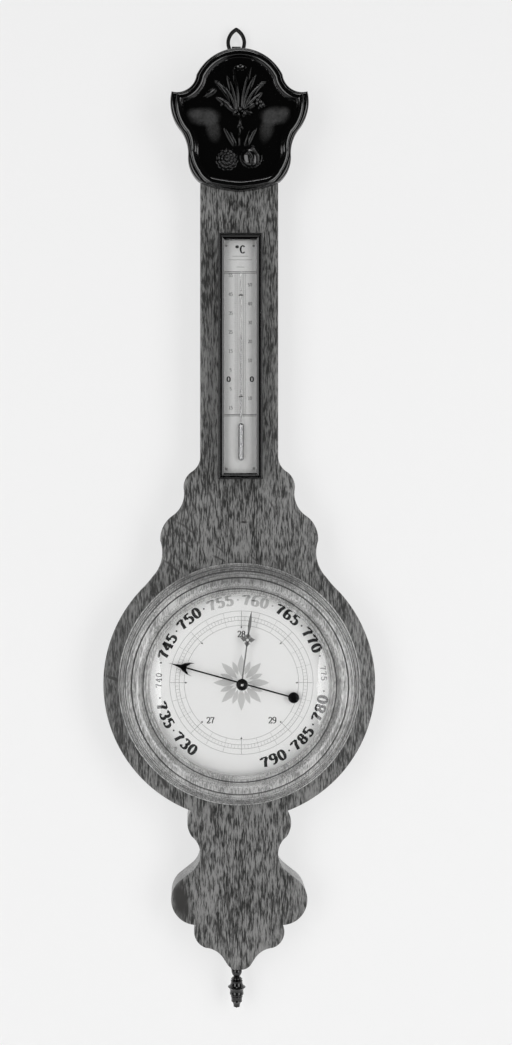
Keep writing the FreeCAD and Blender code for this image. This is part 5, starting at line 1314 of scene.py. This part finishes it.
DIGITS: dict[str, list[list[Point]]] = {
    "0": [oval(0.5, 0.5, 0.23, 0.46)],
    "1": [[(0.52, 0.03), (0.52, 0.5), (0.52, 0.97)], [(0.34, 0.8), (0.5, 0.95)],
          [(0.34, 0.03), (0.7, 0.03)]],
    "2": [oval(0.5, 0.7, 0.22, 0.26, 170, -30), [(0.7, 0.57), (0.5, 0.3), (0.28, 0.05)],
          [(0.27, 0.05), (0.5, 0.06), (0.75, 0.05)], [(0.75, 0.05), (0.75, 0.22)]],
    "3": [oval(0.5, 0.73, 0.2, 0.23, 160, -90), oval(0.5, 0.27, 0.23, 0.24, 90, -160)],
    "4": [[(0.6, 0.96), (0.24, 0.3)], [(0.22, 0.28), (0.8, 0.28)],
          [(0.62, 0.03), (0.62, 0.5), (0.62, 0.97)], [(0.46, 0.03), (0.78, 0.03)]],
    "5": [[(0.32, 0.94), (0.72, 0.94)], [(0.32, 0.95), (0.29, 0.55)],
          oval(0.48, 0.31, 0.24, 0.28, 130, -150)],
    "6": [oval(0.5, 0.28, 0.22, 0.25), oval(0.6, 0.5, 0.32, 0.46, 75, 190)],
    "7": [[(0.26, 0.93), (0.75, 0.93)], [(0.74, 0.92), (0.55, 0.55), (0.45, 0.03)],
          [(0.27, 0.95), (0.27, 0.78)]],
    "8": [oval(0.5, 0.73, 0.18, 0.22), oval(0.5, 0.27, 0.22, 0.24)],
    "9": [oval(0.5, 0.72, 0.22, 0.25), oval(0.4, 0.5, 0.32, 0.46, -105, 10)],
    "C": [oval(0.52, 0.5, 0.25, 0.46, 40, 320)],
    "o": [oval(0.5, 0.82, 0.1, 0.13)],
}


@dataclass
class DialPrint:
    """What is printed on the dial card: rosette, ladder rings, inch and millimetre numbers."""

    x: float = 2.0
    z: float = 1.5
    card: float = 1.5
    lift: float = 0.06
    ladder: tuple[float, ...] = (57.0, 62.0, 66.0, 71.5)
    inch_angle: float = 140.5
    inch_radius: float = 48.5
    pressure_low: int = 730
    pressure_high: int = 790
    pressure_step: int = 5
    pressure_radius: float = 82.6
    middle_pressure: float = 758.0
    degrees_per_mm: float = 4.91
    figure_pitch: float = 6.3
    # numbers printed pale as a painted reflection of the glass
    faded: tuple[int, ...] = (755, 760)
    small: tuple[int, ...] = (740, 775)

    def at(self, angle: float, radius: float) -> Point:
        """Place on the dial, the angle in degrees clockwise from its top."""
        turn = math.radians(angle)
        return self.x + radius * math.sin(turn), self.z + radius * math.cos(turn)

    def petal(self, sheet: InkSheet, angle: float, root: float, tip: float, half: float) -> None:
        """One pointed petal of the rosette.

        Args:
            sheet: what it is printed on.
            angle: its direction on the dial.
            root: radius where it starts.
            tip: radius where it ends.
            half: half of its greatest width.
        """
        shape = [(root, 0.0), (root + (tip - root) * 0.3, half * 0.8), (root + (tip - root) * 0.55, half),
                 (root + (tip - root) * 0.8, half * 0.55), (tip, 0.0)]
        both = shape + [(reach, -side) for reach, side in reversed(shape[1:-1])]
        sheet.patch([self.at(angle + math.degrees(side / max(reach, 1.0)), reach) for reach, side in both])

    def build(self) -> None:
        """Prints the rosette, the ladder and the numbers, each in its own ink."""
        y = front(self.card + self.lift)
        rosette = InkSheet(y)
        for i in range(8):
            self.petal(rosette, 45 * i, 6.0, 28.0, 3.6)
            self.petal(rosette, 45 * i + 22.5, 8.5, 23.0, 2.6)
        rosette.mesh.piece("dial_rosette", PALE_INK, Body.CASE, thickness=0.04)
        fine = InkSheet(y)
        for radius in self.ladder:
            fine.ring((self.x, self.z), radius, 0.36)
        for i in range(120):
            inner, outer = self.ladder[::3] if i % 5 == 0 else self.ladder[1:3]
            fine.line(self.at(3 * i, inner), self.at(3 * i, outer), 0.24)
        fine.mesh.piece("dial_ladder", GREY_INK, Body.CASE, thickness=0.04)
        black = InkSheet(y)
        for i in range(8):
            black.line(self.at(45 * i, 54.0), self.at(45 * i, 71.0), 0.3)
            black.dot(self.at(45 * i, 55.5), 0.8)
        for text, angle in (("27", -self.inch_angle), ("28", 0.0), ("29", self.inch_angle)):
            black.number(text, self.at(angle, self.inch_radius), 6.4, 0.17)
        black.mesh.piece("dial_inches", BLACK_INK, Body.CASE, thickness=0.04)
        dark, faded = InkSheet(y), InkSheet(y)
        for value in range(self.pressure_low, self.pressure_high + 1, self.pressure_step):
            angle = (value - self.middle_pressure) * self.degrees_per_mm
            # numbers under the painted reflection go on their own pale sheet
            sheet = faded if value in self.faded else dark
            small = value in self.small
            self.arc_number(sheet, str(value), angle, 6.0 if small else 10.4, 0.16 if small else 0.32)
            if value < self.pressure_high:
                half_step = self.degrees_per_mm * self.pressure_step / 2
                sheet.dot(self.at(angle + half_step, self.pressure_radius), 0.9)
        dark.mesh.piece("dial_numbers", BLACK_INK, Body.CASE, thickness=0.04)
        faded.mesh.piece("dial_numbers_painted_glare", GLARE_PAINTED_INK, Body.CASE, thickness=0.04)

    def arc_number(self, sheet: InkSheet, text: str, angle: float, height: float, bold: float) -> None:
        """Number whose figures follow the dial's edge, upright in the lower half too.

        Args:
            sheet: what it is printed on.
            text: its figures.
            angle: its direction on the dial.
            height: height of a figure.
            bold: width of the thick strokes as a share of the height.
        """
        below = abs(angle) > 100
        pitch = self.figure_pitch * height / 10.4
        for i, figure in enumerate(text):
            shift = (i - (len(text) - 1) / 2) * pitch * (-1 if below else 1)
            sheet.digit(figure, self.at(angle + shift, self.pressure_radius), height,
                        angle + shift + (180 if below else 0), bold)


@dataclass
class Hands:
    """Blued index hand and brass set hand, with their shapes refined."""

    x: float = 2.0
    z: float = 1.5
    index_angle: float = -74.5
    index_back: float = 6.0
    index_tip: float = 75.4
    index_tail: float = 53.7
    set_angle: float = 7.7
    set_back: float = 8.8
    set_tip: float = 73.0
    cross_middle: float = 43.6
    thickness: float = 0.6

    def plate(self, mesh: Mesh, outline: Sequence[Point], angle: float, back: float, bevel: float) -> None:
        """Adds a thin plate with bevelled edges from an outline that points up.

        Args:
            mesh: what it is added to.
            outline: (across, along) points, clockwise.
            angle: clockwise turn to its reading, in degrees.
            back: height proud of its back.
            bevel: how far its front edge is drawn in.
        """
        sine, cosine = math.sin(math.radians(angle)), math.cos(math.radians(angle))
        top = back + self.thickness
        mesh.skin([[(self.x + u * cosine + v * sine, front(proud), self.z - u * sine + v * cosine)
                    for u, v in inset_loop(outline, inset)]
                   for inset, proud in ((0.0, back), (0.0, back + self.thickness * 0.55), (bevel, top))])

    def disc(self, mesh: Mesh, bore: float, radius: float, back: float, facets: int, along: float = 0.0,
             angle: float = 0.0) -> None:
        """Adds a round plate, bored or whole, some way along a hand that reads at an angle.

        Args:
            mesh: what it is added to.
            bore: radius of its hole.
            radius: its radius.
            back: height proud of its back.
            facets: facets round its edge.
            along: distance from the hand's pivot.
            angle: the hand's reading, in degrees clockwise.
        """
        turn, top = math.radians(angle), self.thickness
        section = [(bore, front(back)), (radius, front(back)), (radius, front(back + top)),
                   (bore, front(back + top))]
        mesh.turn(section, facets, Axis.OUT,
                  (self.x + along * math.sin(turn), self.z + along * math.cos(turn)))

    def build(self) -> None:
        """Builds both hands."""
        self.index_hand()
        self.set_hand()

    def index_hand(self) -> None:
        """Arrow with two horns, its shaft, its round counterpoise and its hub."""
        mesh = Mesh()
        arrow = path_points((0.0, self.index_tip), [
            ((1.7, 63.4), -0.25), ((2.0, 60.6), 0.2), ((0.75, 56.6), -0.4), ((0.75, -self.index_tail), 0.0)],
            0.5)
        self.plate(mesh, mirrored_loop(arrow), self.index_angle, self.index_back, 0.2)
        horn = path_points((0.5, 63.0), [((4.9, 57.6), 0.8), ((6.2, 50.4), 0.6), ((3.8, 54.6), -0.9),
                                         ((0.5, 57.0), -0.5)], 0.4)
        for side in (horn, [(-u, v) for u, v in reversed(horn)]):
            self.plate(mesh, side, self.index_angle, self.index_back, 0.15)
        self.plate(mesh, oval(0.0, -self.index_tail, 5.5, 5.5, 360.0, 9.0), self.index_angle,
                   self.index_back, 0.4)
        hub_back = self.index_back + 0.05
        mesh.turn([(0.0, front(hub_back)), (3.4, front(hub_back)),
                   (3.4, front(self.index_back + self.thickness)),
                   (0.0, front(self.index_back + self.thickness))], 48, Axis.OUT, (self.x, self.z))
        mesh.piece("index_hand_filed", BLUED_STEEL, Body.INDEX, ["index_hand"])

    def set_hand(self) -> None:
        """Blade, open cross of four leaves on a ring, shank and boss."""
        mesh = Mesh()
        blade = path_points((0.0, self.set_tip), [((1.6, 57.0), 0.4), ((0.7, 46.4), -0.2)], 1.0)
        self.plate(mesh, mirrored_loop(blade), self.set_angle, self.set_back, 0.2)
        shank = [(0.65, 41.8), (0.7, 2.0), (-0.7, 2.0), (-0.65, 41.8)]
        self.plate(mesh, shank, self.set_angle, self.set_back, 0.15)
        for lean in (-80, 0, 80, 180):
            self.plate(mesh, self.leaf(lean, self.cross_middle), self.set_angle, self.set_back, 0.15)
        self.disc(mesh, 1.4, 2.4, self.set_back, 32, self.cross_middle, self.set_angle)
        self.disc(mesh, 1.5, 4.0, self.set_back, 48)
        mesh.piece("set_hand_filed", HAND_BRASS, Body.SET_POINTER, ["set_hand"])

    @staticmethod
    def leaf(lean: float, middle: float) -> list[Point]:
        """One leaf of the open cross, leaning clockwise from the hand's own direction.

        Args:
            lean: how far it leans, in degrees clockwise.
            middle: distance of the cross from the pivot.

        Returns:
            Its outline, clockwise.
        """
        side = path_points((0.0, 7.9), [((2.5, 4.0), -0.25), ((1.9, 2.6), 0.4), ((0.6, 1.6), 0.2),
                                        ((0.0, 1.6), 0.0)], 0.6)
        sine, cosine = math.sin(math.radians(lean)), math.cos(math.radians(lean))
        return [(u * cosine + v * sine, middle - u * sine + v * cosine) for u, v in mirrored_loop(side)]


@dataclass
class Thermometer:
    """Black moulding, and the print on the scale card."""

    middle: Point = (0.6, 326.45)
    size: Point = (43.9, 243.7)
    card: float = 1.8
    zero_z: float = 304.4
    per_degree: float = 1.887
    top_rule: float = 411.0
    low_rule: float = 268.5
    bands: Point = (-3.27, 5.02)

    def build(self) -> None:
        """Builds the moulding and prints the card."""
        self.moulding()
        self.print_card()

    def moulding(self) -> None:
        """Four mitred sticks with an outer bead and an inner slope."""
        section = path_points((0.0, 0.0), [
            ((0.0, 12.7), 0.0), ((1.0, 14.0), 0.4), ((1.9, 13.0), 0.4), ((2.1, 12.2), 0.0),
            ((2.6, 12.3), 0.0), ((5.2, 10.9), -0.25), ((5.8, 10.7), 0.0), ((5.8, 10.0), 0.0),
            ((3.8, 10.0), 0.0), ((3.8, 0.0), 0.0)], 0.3)
        mesh = Mesh()
        for turn in range(4):
            across, reach = self.size if turn % 2 == 0 else self.size[::-1]
            sine, cosine = round(math.sin(turn * math.pi / 2)), round(math.cos(turn * math.pi / 2))
            ends = []
            for end in (-1, 1):
                corners = [(end * (across / 2 - inward), -reach / 2 + inward, proud)
                           for inward, proud in section]
                ends.append([(self.middle[0] + u * cosine + v * sine, front(proud),
                              self.middle[1] - u * sine + v * cosine) for u, v, proud in corners])
            mesh.skin(ends)
        mesh.piece("black_moulding", EBONISED_PEAR, Body.CASE, ["thermometer_frame"], crease=30)

    def height(self, degrees: float) -> float:
        """Z of a temperature on the scale."""
        return self.zero_z + degrees * self.per_degree

    def print_card(self) -> None:
        """Rules, ladder, degrees and numbers."""
        y = front(self.card + 0.06)
        left, right = self.middle[0] - 17.0, self.middle[0] + 17.0
        black = InkSheet(y)
        for z in (self.top_rule, self.low_rule):
            for shift in (0.7, -0.7):
                black.line((left, z + shift), (right, z + shift), 0.5)
        axis = sum(self.bands) / 2
        black.number("oC", (axis - 0.4, 434.0), 8.0, 0.22)
        for half, z in ((8.0, 427.2), (11.5, 423.6), (4.0, 416.4)):
            black.line((axis - half, z), (axis + half, z), 0.3)
        for degree in range(-15, 56, 5):
            z = self.height(degree)
            if degree == 0:
                for side in (-1, 1):
                    black.number("0", (axis + side * 11.6, z), 5.4, 0.28)
            else:
                side = 1 if degree % 10 == 0 else -1
                black.number(str(abs(degree)), (axis + side * 9.6, z), 3.4, 0.12)
        black.mesh.piece("scale_numbers", BLACK_INK, Body.CASE, thickness=0.04)
        grey = InkSheet(y)
        for degree in range(-18, 57):
            z = self.height(degree)
            outer = 2.2 if degree % 5 == 0 else 0.6
            for side, x in ((-1, self.bands[0]), (1, self.bands[1])):
                grey.line((x - side * 0.6, z), (x + side * outer, z), 0.2)
            grey.line((self.bands[0] + 1.0, z), (self.bands[1] - 1.0, z), 0.12)
        for x in self.bands:
            for edge in (-1.0, 1.0):
                grey.line((x + edge, self.low_rule), (x + edge, self.top_rule), 0.3)
        grey.mesh.piece("scale_ladder", GREY_INK, Body.CASE, thickness=0.04)


@dataclass
class Studio:
    """Pale wall and floor, five softboxes and the camera."""

    camera_x: float = -0.050
    camera_z: float = 0.1614
    distance: float = 1.300
    image: tuple[int, int] = (512, 1045)
    principal_px: float = 189.3
    wall_y: float = 0.002
    floor_z: float = -0.80
    wall_glow: float = 0.7

    def sweep(self) -> None:
        """Wall and floor in one sheet that is seen only from the room's side."""
        radius, reach, half = 0.35, 1.0, 3.0
        line = [(self.wall_y, 2.4), (self.wall_y, self.floor_z + radius)]
        for i in range(1, 13):
            turn = math.pi / 2 * i / 12
            line.append((self.wall_y - radius * (1 - math.cos(turn)),
                         self.floor_z + radius * (1 - math.sin(turn))))
        line.append((self.wall_y - reach, self.floor_z))
        points = [(side * half, y, z) for y, z in line for side in (-1, 1)]
        faces = [(2 * i, 2 * i + 1, 2 * i + 3, 2 * i + 2) for i in range(len(line) - 1)]
        mesh = bpy.data.meshes.new("pale_sweep")
        mesh.from_pydata(points, [], faces)
        sheet = bpy.data.objects.new("pale_sweep", mesh)
        bpy.context.scene.collection.objects.link(sheet)
        mesh.shade_smooth()
        material = bpy.data.materials.new("pale painted sweep")
        material.use_nodes = True
        tree = material.node_tree
        tree.nodes.clear()
        matt = add_node(tree, "ShaderNodeBsdfDiffuse", {"Color": linear("#eeeeee")})
        glow = add_node(tree, "ShaderNodeEmission", {"Color": linear("#f1f1f1")})
        ray = add_node(tree, "ShaderNodeLightPath")
        seen = either(tree, ray.outputs["Is Camera Ray"], ray.outputs["Is Glossy Ray"],
                      ray.outputs["Is Transmission Ray"])
        share = add_node(tree, "ShaderNodeMath", {0: seen, 1: self.wall_glow}, operation="MULTIPLY")
        paint = add_node(tree, "ShaderNodeMixShader", {0: share.outputs[0], 1: matt.outputs[0],
                                                       2: glow.outputs[0]})
        gone = add_node(tree, "ShaderNodeBsdfTransparent")
        side = add_node(tree, "ShaderNodeNewGeometry")
        mix = add_node(tree, "ShaderNodeMixShader", {0: side.outputs["Backfacing"], 1: paint.outputs[0],
                                                     2: gone.outputs[0]})
        add_node(tree, "ShaderNodeOutputMaterial", {"Surface": mix.outputs[0]})
        mesh.materials.append(material)
        if mesh.polygons[0].normal.y > 0:
            mesh.flip_normals()
        sheet.visible_shadow = False

    def softbox(self, name: str, place: tuple[float, float, float], aim: tuple[float, float, float],
                size: Point, power: float) -> None:
        """Rectangular light.

        Args:
            name: the light's name.
            place: where it stands, in metres.
            aim: the point it faces.
            size: width and height.
            power: watts.
        """
        data = bpy.data.lights.new(name, "AREA")
        data.shape = "RECTANGLE"
        data.size, data.size_y = size
        data.energy = power
        lamp = bpy.data.objects.new(name, data)
        lamp.location = place
        lamp.rotation_euler = (Vector(aim) - Vector(place)).to_track_quat("-Z", "Y").to_euler()
        bpy.context.scene.collection.objects.link(lamp)

    def light(self) -> None:
        """Softboxes left, right, above and behind, and an even dim room."""
        aim, rear_aim = (0.0, 0.0, 0.1), (0.0, 0.0, 0.15)
        for name, place, target, size, power in (
                ("left_softbox", (-0.95, -1.32, 0.1), aim, (0.85, 1.9), 14.6),
                ("right_softbox", (1.04, -1.25, 0.1), aim, (0.85, 1.9), 15.8),
                ("top_softbox", (0.0, -1.3, 2.2), aim, (1.0, 0.25), 6.0),
                ("rear_left_softbox", (-1.3, 1.6, 0.6), rear_aim, (0.9, 1.6), 18.0),
                ("rear_right_softbox", (1.3, 1.6, 0.6), rear_aim, (0.9, 1.6), 18.0)):
            self.softbox(name, place, target, size, power)
        world = bpy.data.worlds.new("studio air")
        bpy.context.scene.world = world
        world.use_nodes = True
        tree = world.node_tree
        tree.nodes.clear()
        dim, dark, pale = (
            add_node(tree, "ShaderNodeBackground", {"Color": linear(colour), "Strength": strength})
            for colour, strength in (("#ffffff", 0.2), ("#ffffff", 0.015), ("#f2f2f2", 1.0)))
        ray = add_node(tree, "ShaderNodeLightPath")
        room = add_node(tree, "ShaderNodeMixShader", {0: ray.outputs["Is Glossy Ray"], 1: dim.outputs[0],
                                                      2: dark.outputs[0]})
        mix = add_node(tree, "ShaderNodeMixShader", {0: ray.outputs["Is Camera Ray"], 1: room.outputs[0],
                                                     2: pale.outputs[0]})
        add_node(tree, "ShaderNodeOutputWorld", {"Surface": mix.outputs[0]})

    def camera(self) -> None:
        """Camera level with the shoulders, a little left of the case, framed by a sideways shift."""
        data = bpy.data.cameras.new("camera")
        width, height = self.image
        data.sensor_width = 36.0
        data.lens = data.sensor_width * self.distance / (height * MM)
        data.shift_x = (width / 2 - self.principal_px) / height
        eye = bpy.data.objects.new("camera", data)
        eye.location = (self.camera_x, BOARD_FACE_Y * MM - self.distance, self.camera_z)
        eye.rotation_euler = (math.pi / 2, 0, 0)
        bpy.context.scene.collection.objects.link(eye)
        bpy.context.scene.camera = eye

    def build(self) -> None:
        """Sets up the studio."""
        self.sweep()
        self.light()
        self.camera()
        bpy.context.scene.view_settings.view_transform = "Standard"


def clear_start() -> None:
    """Removes what a new Blender file holds beside the frame."""
    kept = set(frame["bodies"].values()) | set(frame["nodes"].values())
    for found in list(bpy.data.objects):
        if found not in kept:
            bpy.data.objects.remove(found)


def dress_nodes() -> None:
    """Gives every node that stays its finish."""
    for name, finish in NODE_FINISHES.items():
        dress(frame["nodes"][name], finish)
        LOG.info("%s: %s", name, finish.title)


def main() -> None:
    """Builds the pieces in order, then the studio."""
    logging.basicConfig(level=logging.INFO, format="%(message)s")
    clear_start()
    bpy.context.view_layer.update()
    dress_nodes()
    for assembly in (Case(), Crest(), Drop(), Bezel(), DialPrint(), Hands(), Thermometer()):
        assembly.build()
    Studio().build()


if __name__ == "__main__":
    main()
